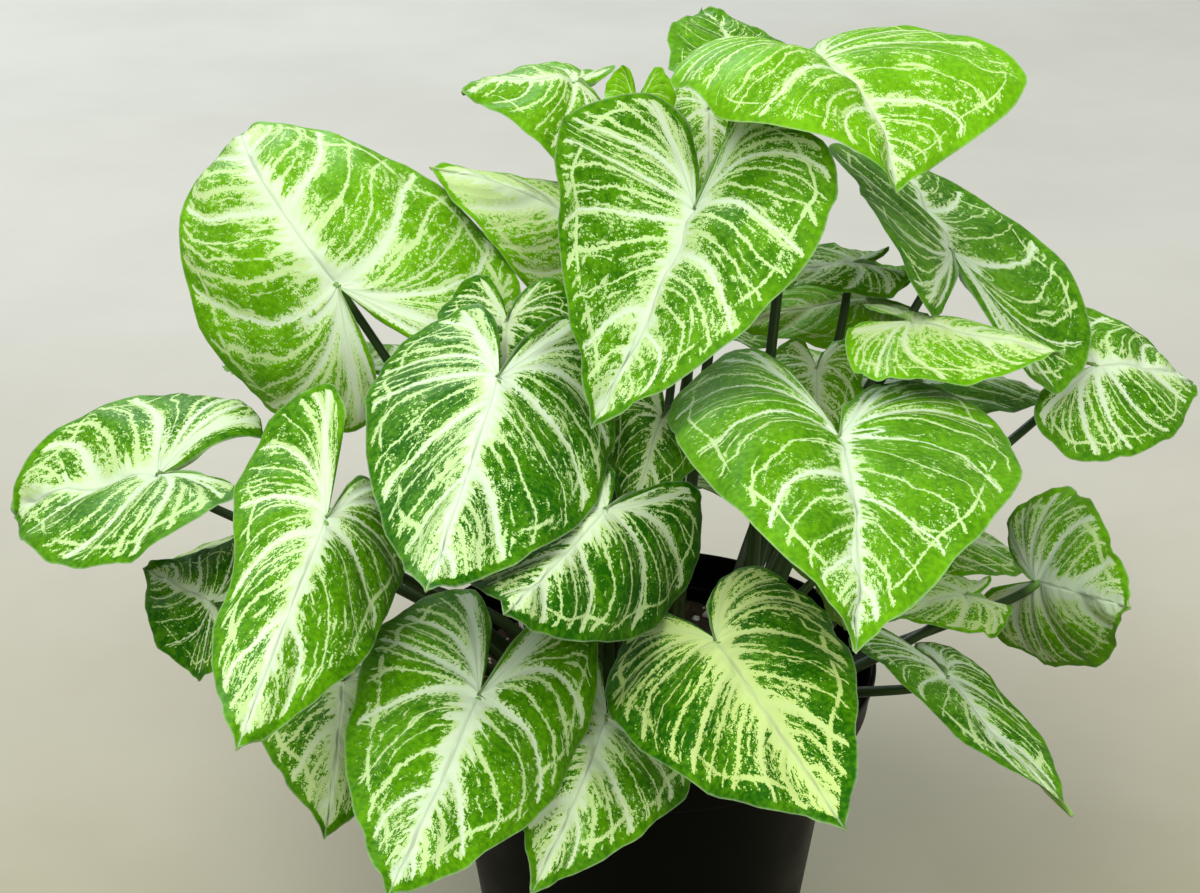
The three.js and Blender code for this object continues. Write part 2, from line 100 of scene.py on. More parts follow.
PETIOLE_BASE_RADIUS = 2.8
PETIOLE_TOP_RADIUS = 1.7
PETIOLE_SIDES = 16
PETIOLE_STEPS = 36
PETIOLE_DEPTH = 6  # how far down in the soil a petiole starts
PETIOLE_INSET = 1.5  # it ends this far along the midrib from the notch
PETIOLE_DROP = 0.6  # and this far under the blade's middle surface
SHEATH_SHARE = 0.45  # how much of a petiole has wings, from its foot up
NECK_START = 0.97  # where a petiole starts to narrow into the blade
NECK_NARROWING = 0.35
RISE = {"straight": 0.6, "up": 0.55, "share": 0.33}
ENTRY = {"straight": 0.6, "midrib": 0.2, "up": 0.35, "share": 0.28}
SHOOT_RADIUS = 7.5
SHOOT_SPACING = 6.8
SPREAD_ROUNDS = 200
STEM_RADIUS = 3.6
STEM_DEPTH = 4  # how far down in the soil a shoot's stem starts
STEM_RINGS = 22
STEM_SIDES = 14

# Where each shoot comes up through the soil.
SHOOTS = {
    "left": (-42, -8),
    "left_back": (-36, 24),
    "front_left": (-20, -40),
    "front_right": (20, -40),
    "middle": (-8, 8),
    "mid_back": (8, 40),
    "back": (-22, 50),
    "right": (36, 4),
    "far_right": (52, -22),
    "back_right": (42, 40),
}

# Half a leaf's margin, tip to notch: along, then across.
HALF_MARGIN = np.array([
    (1.0, 0.0), (0.945, 0.085), (0.85, 0.24), (0.69, 0.47), (0.49, 0.71), (0.24, 0.9),
    (-0.05, 0.99), (-0.35, 1.0), (-0.66, 0.9), (-0.9, 0.7), (-1.0, 0.47), (-0.88, 0.26),
    (-0.55, 0.11), (-0.22, 0.035), (0.0, 0.0),
])

# One row a leaf: name, shoot, where the petiole meets the blade, (heading, pitch, roll) in
# degrees, (length to the tip, width, lobe as a share of the length), its bends in degrees, and
# its look: how far the cream spreads, where 1 is usual, and from 0 to 1 its flecks, how light the
# green is, and how yellow the cream is. A waist narrows half the blade by a share, or widens it
# by a negative one, at a place from 1 at the tip to -1 at the lobe's end. Pairs are the leaf's
# own left and right.
LEAVES = [
    ("far_left", "left", (-187, -20, 259), (171, -15, -15), (66, 136, 0.58),
     dict(droop=-10, hook=45, fold=30, cup=(40, 82), lift=(-28, 30), curl=(0, -140),
          twist=-18), (1.15, 0.6, 0.3, 0.1)),
    ("small_left", "left", (-163, -56, 223), (130, -7, -45), (47, 56, 0.48),
     dict(droop=-10, fold=2, cup=(25, 5), lift=(0, 15), twist=14), (0.75, 0.25, 0.15, 0.2)),
    ("left_front", "left", (-111, -110, 284), (-101, -18, -28), (108, 78, 0.5),
     dict(droop=-5, fold=-10, cup=(33, 48), lift=(-35, 22), twist=14,
          waist=((0, 0), (0.25, 0.3))), (1.0, 0.55, 0.35, 0.1)),
    ("low_left", "left", (-115, -60, 191), (-84, 8, -15), (86, 74, 0.44),
     dict(droop=38, fold=-10, cup=(40, 40)), (1.1, 0.7, 0.3, 0.35)),
    ("front_left", "front_left", (-59, -130, 226), (-104, -11, -11), (104, 86, 0.54),
     dict(droop=-8, cup=(56, 0), lift=(30, -10)), (1.25, 0.35, 0.35, 0.1)),
    ("front_mid", "front_left", (-15, -96, 197), (-98, 3, -30), (90, 80, 0.43),
     dict(droop=36, fold=8, cup=(23, 24)), (1.2, 0.5, 0.3, 0.25)),
    ("front_right", "front_right", (23, -120, 242), (-74, 0, 30), (103, 92, 0.46),
     dict(droop=19, fold=-2, cup=(58, 14), lift=(-10, -12)), (1.15, 0.5, 0.12, 0.8)),
    ("centre_low", "front_left", (-15, -94, 280), (-112, -2, -14), (92, 94, 0.43),
     dict(droop=-10, fold=-22, cup=(55, 20), lift=(20, 0), twist=-8), (0.9, 0.35, 0.1, 0.2)),
    ("mid_left", "front_left", (-53, -70, 320), (-100, -18, -7), (117, 111, 0.46),
     dict(droop=-10, fold=-24, cup=(32, 10), lift=(5, -15), twist=14,
          waist=((0, 0), (0.15, 0.6))), (1.0, 0.7, 0.15, 0.0)),
    ("centre_top", "middle", (18, 0, 359), (-114, -35, 8), (106, 118, 0.42),
     dict(droop=-10, fold=32, cup=(60, -30), lift=(55, 22), twist=-28), (0.9, 0.75, 0.35, 0.05)),
    ("top_right", "right", (65, 30, 408), (-60, 2, -13), (75, 127, 0.43),
     dict(droop=62, fold=26, cup=(18, 88), lift=(-18, -10), curl=(0, -30), twist=4,
          waist=((-0.6, 0.65), (-0.25, 0.5))), (0.5, 0.6, 0.75, 0.3)),
    ("top_back", "mid_back", (44, 120, 384), (106, 17, 8), (58, 70, 0.34),
     dict(droop=14, fold=10, cup=(24, 26)), (0.3, 0.1, 0.4, 0.4)),
    ("top_left", "back", (-27, 95, 383), (-170, 15, -12), (48, 95, 0.4),
     dict(droop=40, fold=-5, cup=(50, 30), lift=(-18, 18), twist=8), (0.7, 0.35, 0.6, 0.3)),
    ("back_centre", "middle", (-17, 45, 334), (-161, 40, -50), (75, 74, 0.35),
     dict(droop=50, fold=-28, cup=(24, 18), lift=(-12, -30), twist=14), (1.4, 1.0, 0.8, 0.25)),
    ("back_left", "left_back", (-118, 10, 325), (156, 47, -62), (118, 137, 0.46),
     dict(droop=85, fold=2, cup=(55, 70), lift=(-28, 24), twist=15), (1.1, 0.75, 0.65, 0.1)),
    ("right_upper", "back_right", (125, 62, 322), (95, 10, 40), (112, 130, 0.6),
     dict(droop=14, fold=6, cup=(14, -18), lift=(-24, -6), twist=-22,
          waist=((0.15, -0.2), (0, 0))), (0.85, 0.35, 0.35, 0.1)),
    ("right_low", "right", (101, -4, 316), (-14, -6, 12), (58, 78, 0.38),
     dict(droop=4, cup=(100, 8)), (0.8, 0.9, 0.7, 0.4)),
    ("far_right", "far_right", (188, 58, 273), (22, -6, 35), (64, 86, 0.56),
     dict(droop=35, cup=(33, 14), lift=(2, -20), twist=-5), (1.0, 0.45, 0.35, 0.1)),
    ("right_lower", "far_right", (156, -10, 208), (-65, 16, 72), (66, 80, 0.5),
     dict(droop=-8, fold=-10, cup=(12, 45), lift=(0, 18), twist=6), (1.6, 0.5, 0.6, 0.1)),
    ("right_droop", "far_right", (110, -84, 207), (-71, -5, -25), (90, 60, 0.45),
     dict(droop=-4, fold=6, cup=(12, 27), lift=(-27, -18), twist=-10), (1.1, 0.45, 0.3, 0.1)),
    ("centre_right", "front_right", (68, -70, 297), (-88, 5, -16), (121, 132, 0.55),
     dict(droop=33, fold=26, cup=(30, 88), lift=(-3, 0), twist=2), (0.75, 0.45, 0.5, 0.05)),
    ("streaked", "back_right", (86, 66, 315), (200, 4, -8), (50, 44, 0.42),
     dict(droop=20), (1.1, 0.5, 0.4, 0.2)),
    ("inner_right", "right", (70, 36, 280), (-92, -30, 0), (38, 40, 0.42),
     dict(droop=20), (0.9, 0.5, 0.5, 0.3)),
    ("under_right", "front_right", (66, -60, 240), (40, -66, 0), (34, 36, 0.42),
     dict(droop=0), (0.6, 0.3, 0.6, 0.6)),
    ("pale_right", "far_right", (126, -22, 208), (192, 0, -2), (48, 46, 0.3),
     dict(droop=5), (1.2, 0.8, 0.6, 0.5)),
    ("backlit", "back_right", (95, 85, 292), (185, -4, -25), (58, 56, 0.42),
     dict(droop=15), (0.7, 0.4, 0.9, 0.6)),
    ("sinus_left", "middle", (-52, -15, 320), (-92, -30, 0), (54, 54, 0.42),
     dict(droop=20), (0.6, 0.3, 0.2, 0.3)),
    ("dark_centre", "middle", (6, -26, 285), (-112, -34, 0), (44, 46, 0.42),
     dict(droop=20), (0.6, 0.3, 0.2, 0.4)),
    ("yellow_top", "back", (-3, 72, 378), (-100, -35, 0), (34, 30, 0.55),
     dict(droop=10, lift=(34, 34)), (0.2, 0.1, 0.9, 0.8)),
    ("behind_sinus", "mid_back", (27, 84, 374), (-92, -40, 0), (44, 36, 0.36),
     dict(droop=10), (0.9, 0.4, 0.5, 0.2)),
    ("back_a", "left_back", (-122, 85, 262), (145, 4, 0), (82, 82, 0.44),
     dict(droop=35), (1.0, 0.5, 0.5, 0.2)),
    ("back_b", "back", (-52, 132, 258), (106, 2, 0), (90, 88, 0.46),
     dict(droop=38), (1.15, 0.4, 0.4, 0.3)),
    ("back_c", "mid_back", (18, 140, 268), (88, 0, 0), (90, 90, 0.44),
     dict(droop=40), (0.9, 0.7, 0.35, 0.15)),
    ("back_d", "back_right", (76, 130, 240), (66, 2, 0), (84, 82, 0.42),
     dict(droop=36), (1.1, 0.6, 0.6, 0.3)),
    ("back_e", "back_right", (122, 92, 252), (28, 0, 0), (80, 74, 0.44),
     dict(droop=36), (0.8, 0.3, 0.35, 0.2)),
    ("back_f", "left_back", (-140, 40, 205), (168, -6, 0), (72, 70, 0.42),
     dict(droop=30), (1.1, 0.8, 0.5, 0.4)),
    ("back_g", "back", (-77, 95, 200), (128, -10, 0), (70, 68, 0.42),
     dict(droop=30), (0.9, 0.4, 0.3, 0.3)),
    ("back_h", "mid_back", (16, 112, 198), (92, -10, 0), (72, 62, 0.42),
     dict(droop=30), (1.1, 0.5, 0.4, 0.35)),
    ("back_i", "far_right", (124, 66, 190), (22, -8, 0), (68, 68, 0.42),
     dict(droop=30), (1.0, 0.6, 0.5, 0.3)),
]
UNBENT = dict(droop=20, hook=0, fold=0, cup=(20, 20), lift=(0, 0), curl=(0, 0), twist=0,
              waist=((0, 0), (0, 0)))


class Leaf:
    """One row of the table, with its own axes: x to the tip, y to its left, z up out of it."""

    def __init__(self, number, row):
        name, shoot, at, turn, size, bends, look = row
        self.number = number
        self.name = name
        self.shoot = shoot
        self.at = np.array(at, float)
        self.length, self.width, self.lobe = size
        self.bends = {**UNBENT, **bends}
        self.look = look
        heading, pitch, roll = (math.radians(v) for v in turn)
        self.x = np.array([
            math.cos(heading) * math.cos(pitch),
            math.sin(heading) * math.cos(pitch),
            math.sin(pitch),
        ])
        level = np.array([-math.sin(heading), math.cos(heading), 0.0])
        raised = np.cross(self.x, level)
        self.y = level * math.cos(roll) + raised * math.sin(roll)
        self.z = np.cross(self.x, self.y)
        chance = np.random.default_rng(100 + number)
        # each half's shifts of its ribs and waves, how far the blade swells, and its ripple
        self.rib_chance = chance.uniform(0, 1, (2, 3))
        self.quilt = chance.uniform(1.6, 2.4) * self.width / PATTERN_WIDTH
        self.ripple = chance.uniform(0.7, 1.3)


leaves = [Leaf(number, row) for number, row in enumerate(LEAVES)]


# ---- one leaf's shape ---------------------------------------------------------------------------

def margin_point(t):
    """A smooth curve through the half margin, at t from 0 at the tip to 1 at the notch."""
    last = len(HALF_MARGIN) - 1
    s = np.clip(t, 0, 1) * last
    i = np.minimum(np.floor(s), last - 1).astype(int)
    f = (s - i)[..., None]
    p = [HALF_MARGIN[np.clip(i + k, 0, last)] for k in (-1, 0, 1, 2)]
    return 0.5 * (
        2 * p[1] + (p[2] - p[0]) * f
        + (2 * p[0] - 5 * p[1] + 4 * p[2] - p[3]) * f ** 2
        + (3 * p[1] - p[0] - 3 * p[2] + p[3]) * f ** 3
    )


def bent_rib(x, length, turn, curl):
    """How far along and how far up a bent rib's point at x has come, and its slope there."""
    reach = np.minimum(x / length, 1)
    step = reach * length / BEND_STEPS
    along, up = 0 * x, 0 * x
    for i in range(BEND_STEPS):
        f = reach * (i + 0.5) / BEND_STEPS
        along = along + np.cos(turn * f + curl * f ** 3) * step
        up = up + np.sin(turn * f + curl * f ** 3) * step
    return along, up, turn * reach + curl * reach ** 3


def flat_point(leaf, t, w, pick):
    """Along and across in the flat blade, at t along the half margin and w out from the ribs."""
    margin = margin_point(t)
    waist, place = leaf.bends["waist"][pick]
    narrowing = 1 - waist * np.exp(-((margin[..., 0] - place) / WAIST_REACH) ** 2)
    x = np.where(margin[..., 0] > 0, 1.0, leaf.lobe) * margin[..., 0] * leaf.length
    root = leaf.length * (np.maximum(x, 0) / leaf.length) ** RIB_SWEEP
    return root + (x - root) * w, np.abs(margin[..., 1] * leaf.width * 0.5 * w * narrowing)


def rib_count(leaf, t, w, side):
    """Grows by one from each main lateral rib to the next. The ribs are at the whole numbers."""
    a, b, c = leaf.rib_chance[0 if side > 0 else 1]
    uneven = 0.2 * np.sin(2 * np.pi * (1.6 * t + a)) + 0.08 * np.sin(2 * np.pi * (3.3 * t + b))
    sway = 0.08 * np.sin(2 * np.pi * (1.2 * w + 2.1 * t + c)) * w
    outer = np.clip((LOBE_VEIN - t) / (LOBE_VEIN - LOBE_START), 0, 1)
    inner = np.clip((t - LOBE_VEIN) / (1 - LOBE_VEIN), 0, 1)
    outer = outer / np.maximum(outer + (1 - outer) * w ** LOBE_PEEL, 1e-6)
    inner = inner / np.maximum(inner + (1 - inner) * w ** LOBE_PEEL, 1e-6)
    in_lobe = LOBE_VEIN - (LOBE_VEIN - LOBE_START) * outer + (1 - LOBE_VEIN) * inner
    place = np.where(t < LOBE_START, t, in_lobe)
    return RIBS * (place + RIB_CURL * w * w) + uneven + sway + a


def margin_ripple(leaf, t, side):
    """The small uneven waves of the margin."""
    a, b, c = leaf.rib_chance[0 if side > 0 else 1]
    return (
        0.5 * np.sin(2 * np.pi * (6.3 * t + a))
        + 0.35 * np.sin(2 * np.pi * (10.7 * t + b))
        + 0.22 * np.sin(2 * np.pi * (17.2 * t + c))
    )


def vein_distance(leaf, along, across, pick):
    """How far a point is from the midrib or the lobe's own vein, which is the thinner of them."""
    end_x, end_y = flat_point(leaf, np.array(LOBE_VEIN), np.array(1.0), pick)
    size = math.hypot(end_x, end_y)
    forward = (along * end_x + across * end_y) / size
    aside = np.abs(along * end_y - across * end_x) / size
    from_notch = np.hypot(along, across)
    from_midrib = np.where(along > 0, across, from_notch)
    from_lobe_vein = np.where(forward > 0, aside * (1.3 + 1.5 * forward / size), from_notch)
    return np.minimum(from_midrib, from_lobe_vein)


def rib_gap_and_edge(leaf, t, w, side, pick):
    """How far it is from one main rib to the next, and along the ribs to the margin."""
    step = 1e-3
    t1, t0 = np.minimum(t + step, 1), np.maximum(t - step, 0)
    w1, w0 = np.minimum(w + step, 1), np.maximum(w - step, 0)
    ax1, ac1 = flat_point(leaf, t1, w, pick)
    ax0, ac0 = flat_point(leaf, t0, w, pick)
    bx1, bc1 = flat_point(leaf, t, w1, pick)
    bx0, bc0 = flat_point(leaf, t, w0, pick)
    xt, yt = (ax1 - ax0) / (t1 - t0), (ac1 - ac0) / (t1 - t0)
    xw, yw = (bx1 - bx0) / (w1 - w0), (bc1 - bc0) / (w1 - w0)
    count_t = (rib_count(leaf, t1, w, side) - rib_count(leaf, t0, w, side)) / (t1 - t0)
    count_w = (rib_count(leaf, t, w1, side) - rib_count(leaf, t, w0, side)) / (w1 - w0)
    area = xt * yw - xw * yt
    area = np.where(np.abs(area) < 1e-3, 1e-3, area)
    count_x = (count_t * yw - count_w * yt) / area
    count_y = (count_w * xt - count_t * xw) / area
    rib_gap = 1 / np.maximum(np.hypot(count_x, count_y), 1e-3)
    return rib_gap, (1 - w) / np.maximum(np.hypot(yt / area, xt / area), 1e-3)


def blade_half(leaf, t, w, side):
    """Points of half a blade's middle surface, and what its pattern is drawn from."""
    pick = 0 if side > 0 else 1
    bends = leaf.bends
    along, across = flat_point(leaf, t, w, pick)
    count = rib_count(leaf, t, w, side)
    rib_gap, edge = rib_gap_and_edge(leaf, t, w, side, pick)
    norm = math.sqrt(PATTERN_WIDTH / leaf.width)
    middle = np.where(along > 0, across, np.hypot(along, across))
    notch = np.hypot(along, across)

    # relief: the blade swells between its ribs and dips along them
    between = np.sin(np.pi * count) ** 2
    rooms = np.clip(rib_gap / 9, 0, 1) * np.clip(edge / 9, 0, 1)
    relief = leaf.quilt * rooms * (between - 0.5) * np.where(along > 0, 1.0, 0.45)
    relief -= 0.25 * np.exp(-(middle / 2.4) ** 2) * np.clip(notch / 10, 0, 1)
    ripple = margin_ripple(leaf, t, side) * w ** 5 * leaf.ripple

    def half(pair):
        return math.radians(pair[pick])

    front = along >= 0
    droop, hook = math.radians(bends["droop"]), math.radians(bends["hook"])
    fx, fz, fs = bent_rib(np.maximum(along, 0), leaf.length, -droop, -hook)
    lobe = leaf.length * leaf.lobe
    bx, bz, bs = bent_rib(np.maximum(-along, 0), lobe, half(bends["lift"]), half(bends["curl"]))
    lx = np.where(front, fx, -bx)
    pz = np.where(front, fz, bz)
    angle = np.where(front, fs, -bs)

    fold = math.radians(bends["fold"])
    bend = half(bends["cup"]) / (leaf.width / 2)
    end = fold - bend * across
    if bend == 0:
        out, arch = across * math.cos(fold), across * math.sin(fold)
    else:
        out = (math.sin(fold) - np.sin(end)) / bend
        arch = (np.cos(end) - math.cos(fold)) / bend
    shift = LEFT_WAVE_SHIFT if side > 0 else 0
    wave = MARGIN_WAVE * w * w * np.sin(2 * np.pi * (WAVES_PER_SIDE * t + shift))
    scallop = SCALLOP_DEPTH * margin_ripple(leaf, t + 0.04, side) * w ** 6
    out = out - np.sin(end) * (relief + ripple) + scallop * np.clip(across / 12, 0, 1)
    up = arch + wave + np.cos(end) * (relief + ripple)

    twist = math.radians(bends["twist"]) * along / leaf.length
    ly = side * out * np.cos(twist) - up * np.sin(twist)
    lz = side * out * np.sin(twist) + up * np.cos(twist)
    points = (
        leaf.at
        + leaf.x * (lx - np.sin(angle) * lz)[..., None]
        + leaf.y * ly[..., None]
        + leaf.z * (pz + np.cos(angle) * lz)[..., None]
    )
    shown_count = count + (0 if side > 0 else RIGHT_RIBS)
    ribs = np.stack([shown_count, rib_gap * norm, edge * norm], -1)
    reach = np.stack([vein_distance(leaf, along, across, pick) * norm, notch * norm, w], -1)
    flat = np.stack([along, side * across, np.full_like(along, SEED_STEP * leaf.number)], -1)
    return points, ribs, reach, flat


class BladeGrid:
    """The grid that each blade is drawn on: its points, and the faces of both its skins."""

    def __init__(self):
        t = np.linspace(0, 1, OUTLINE_STEPS + 1)
        spread = np.linspace(0, 1, ACROSS_STEPS + 1)
        w = 0.55 * spread + 0.45 * (0.5 - 0.5 * np.cos(np.pi * spread))
        self.t, self.w = np.meshgrid(t, w, indexing="ij")
        self.in_lobe = margin_point(t)[:, 0] <= 1e-9
        self.vertex_of = {}
        self.points = []
        upper = []
        for half in (0, 1):
            for i in range(OUTLINE_STEPS):
                for j in range(ACROSS_STEPS):
                    loop = [(half, i, j), (half, i + 1, j), (half, i + 1, j + 1), (half, i, j + 1)]
                    corners = {}
                    for point in loop if half else reversed(loop):
                        corners.setdefault(self.vertex(*point), point)
                    if len(corners) > 2:
                        upper.append(list(corners.items()))
        margin = [self.vertex_of["tip"], self.vertex_of["notch"]]
        for half in (0, 1):
            margin += [self.vertex(half, i, ACROSS_STEPS) for i in range(1, OUTLINE_STEPS)]

        # the lower skin shares the margin, and has points of its own inside it
        count = len(self.points)
        self.on_margin = np.isin(np.arange(count), margin)
        under_of = np.where(
            self.on_margin, np.arange(count), count - 1 + np.cumsum(~self.on_margin)).tolist()
        under = [[(under_of[v], point) for v, point in reversed(face)] for face in upper]
        self.upper_faces = [[v for v, _ in face] for face in upper]
        self.faces = [[v for v, _ in face] for face in upper + under]
        self.slots = [0] * len(upper) + [1] * len(under)
        self.corner_slots = np.repeat(self.slots, [len(face) for face in self.faces])
        self.corner_points = as_index([point for face in upper + under for _, point in face])
        self.points = as_index(self.points)

    def vertex(self, half, i, j):
        """The number of the vertex at a point, where the halves share the midrib and both ends."""
        if i == OUTLINE_STEPS or (j == 0 and self.in_lobe[i]):
            key = "notch"
        elif i == 0:
            key = "tip"
        elif j == 0:
            key = ("midrib", i)
        else:
            key = (half, i, j)
        if key not in self.vertex_of:
            self.vertex_of[key] = len(self.points)
            self.points.append((half, i, j))
        return self.vertex_of[key]


def as_index(points):
    """A list of (half, i, j) in the form that picks them all out of an array at once."""
    return tuple(np.array(points).T)


def petiole_corners():
    """How far up and how far round each corner of a petiole's faces is, from 0 to 1."""
    last = PETIOLE_STEPS + 1
    corners = [
        (k + up, i + on)
        for k in range(last)
        for i in range(PETIOLE_SIDES)
        for up, on in ((0, 0), (0, 1), (1, 1), (1, 0))
    ]
    corners += [(0, 0)] * PETIOLE_SIDES + [(last, 0)] * PETIOLE_SIDES
    return np.array(corners) / (last, PETIOLE_SIDES)


GRID = BladeGrid()
PETIOLE_CORNERS = petiole_corners()


def shoot_roots():
    """Where each petiole stands: round its shoot, on the side it leans to, clear of the others."""
    roots = {}
    for shoot, (cx, cy) in SHOOTS.items():
        own = [leaf for leaf in leaves if leaf.shoot == shoot]
        bearing = {leaf.name: math.atan2(leaf.at[1] - cy, leaf.at[0] - cx) for leaf in own}
        own.sort(key=lambda leaf: bearing[leaf.name])
        angles = [bearing[leaf.name] for leaf in own]
        count = len(own)
        least = min(2 * math.asin(SHOOT_SPACING / (2 * SHOOT_RADIUS)), 2 * math.pi / count)
        for _ in range(SPREAD_ROUNDS if count > 1 else 0):
            for k in range(count):
                after = (k + 1) % count
                gap = angles[after] - angles[k] + (2 * math.pi if after == 0 else 0)
                if gap < least:
                    angles[k] -= (least - gap) / 2
                    angles[after] += (least - gap) / 2
        for leaf, a in zip(own, angles):
            roots[leaf.name] = np.array([
                cx + SHOOT_RADIUS * math.cos(a),
                cy + SHOOT_RADIUS * math.sin(a),
                SOIL_LEVEL,
            ])
    return roots


ROOTS = shoot_roots()


def unit(v):
    return v / max(np.linalg.norm(v), 1e-9)


def petiole_centres(leaf):
    """Points along a petiole from its foot in the soil to the blade, and its plane's normal."""
    root = ROOTS[leaf.name]
    top = leaf.at + leaf.x * PETIOLE_INSET - leaf.z * PETIOLE_DROP
    reach = np.linalg.norm(top - root)
    straight = unit(top - root)
    rise = unit(straight * RISE["straight"] + np.array([0, 0, RISE["up"]]))
    enter = unit(straight * ENTRY["straight"] + leaf.x * ENTRY["midrib"] + leaf.z * ENTRY["up"])
    p = [root, root + rise * reach * RISE["share"], top - enter * reach * ENTRY["share"], top]
    centres = [root - np.array([0, 0, PETIOLE_DEPTH])]
    for f in np.linspace(0, 1, PETIOLE_STEPS + 1):
        g = 1 - f
        centres.append(
            g ** 3 * p[0] + 3 * g * g * f * p[1] + 3 * g * f * f * p[2] + f ** 3 * p[3]
        )
    side = np.array([root[1] - leaf.at[1], leaf.at[0] - root[0], 0])
    return np.array(centres), unit(side)


def petiole_rings(leaf):
    """Rings of points round a petiole: grooved, with a winged sheath at its foot."""
    centres, across = petiole_centres(leaf)
    count = len(centres)
    turn = 2 * np.pi * np.arange(PETIOLE_SIDES) / PETIOLE_SIDES
    off_groove = np.abs((turn - np.pi / 2 + np.pi) % (2 * np.pi) - np.pi)
    rings = []
    for k in range(count):
        ahead = unit(centres[min(k + 1, count - 1)] - centres[max(k - 1, 0)])
        a = unit(across - ahead * np.dot(across, ahead))
        b = np.cross(ahead, a)
        f = max(k - 1, 0) / (count - 2)
        radius = PETIOLE_BASE_RADIUS + (PETIOLE_TOP_RADIUS - PETIOLE_BASE_RADIUS) * f ** 0.8
        radius *= 1 - NECK_NARROWING * max(0, (f - NECK_START) / (1 - NECK_START))
        sheath = max(0, 1 - f / SHEATH_SHARE) ** 0.6
        groove = (0.12 + 0.4 * sheath) * np.exp(-(off_groove / 0.42) ** 2)
        wings = 0.3 * sheath * np.exp(-((off_groove - 0.85) / 0.28) ** 2)
        r = radius * (1 - groove + wings)
        rings.append(centres[k] + a * (r * np.cos(turn))[:, None] + b * (r * np.sin(turn))[:, None])
    return np.array(rings)


def vertex_normals(points, faces):
    """Unit normals at the points, from the faces of three or four corners that meet there."""
    normals = np.zeros_like(points)
    for face in faces:
        a, b, c, d = (points[i] for i in [*face, face[-1]][:4])
        normal = np.cross(b - a, c - a) + np.cross(c - a, d - a)
        for i in face:
            normals[i] += normal
    return normals / np.maximum(np.linalg.norm(normals, axis=1), 1e-9)[:, None]


def blade_skins(middle, reach, flat):
    """The upper and the lower skin round a blade's middle surface, with a keel under the midrib."""
    normals = vertex_normals(middle, GRID.upper_faces)
    shell = 0.5 * BLADE_THICKNESS * np.sqrt(np.clip(1 - reach[:, 2] ** 6, 0, 1))
    from_midrib = np.where(flat[:, 0] > 0, np.abs(flat[:, 1]), np.hypot(flat[:, 0], flat[:, 1]))
    keel = np.exp(-(from_midrib / KEEL_WIDTH) ** 2)
    keel *= np.clip(KEEL_DEPTH - reach[:, 1] / KEEL_RUN, 0.1, KEEL_DEPTH)
    keel *= 1 - reach[:, 2] ** 2
    upper = middle + normals * shell[:, None]
    upper[GRID.on_margin] = middle[GRID.on_margin]
    under = middle - normals * (shell + keel)[:, None]
    return upper, under[~GRID.on_margin]


# ---- meshes and pieces --------------------------------------------------------------------------

def new_mesh(name, points, faces):
    """A mesh from points in millimetres."""
    mesh = bpy.data.meshes.new(name)
    mesh.from_pydata((np.array(points) * MM).tolist(), [], faces)
    mesh.update()
    return mesh


def place_piece(mesh, materials, slot, *nodes):
    """A smooth piece of the plant with its mesh's name, which takes the named nodes' place."""
    for material in materials:
        mesh.materials.append(material)
    mesh.polygons.foreach_set("use_smooth", [True] * len(mesh.polygons))
    piece = bpy.data.objects.new(mesh.name, mesh)
    bpy.context.collection.objects.link(piece)
    if nodes:
        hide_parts(*nodes)
    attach(piece, "root")
    return piece


def tube_faces(first, rings, sides):
    """The faces of a tube closed at both ends, whose rings of points count on from first."""
    faces = []
    for k in range(rings - 1):
        p, q = first + k * sides, first + (k + 1) * sides
        for i in range(sides):
            j = (i + 1) % sides
            faces.append([p + i, p + j, q + j, q + i])
    last = first + (rings - 1) * sides
    faces.append([first + i for i in reversed(range(sides))])
    faces.append([last + i for i in range(sides)])
    return faces


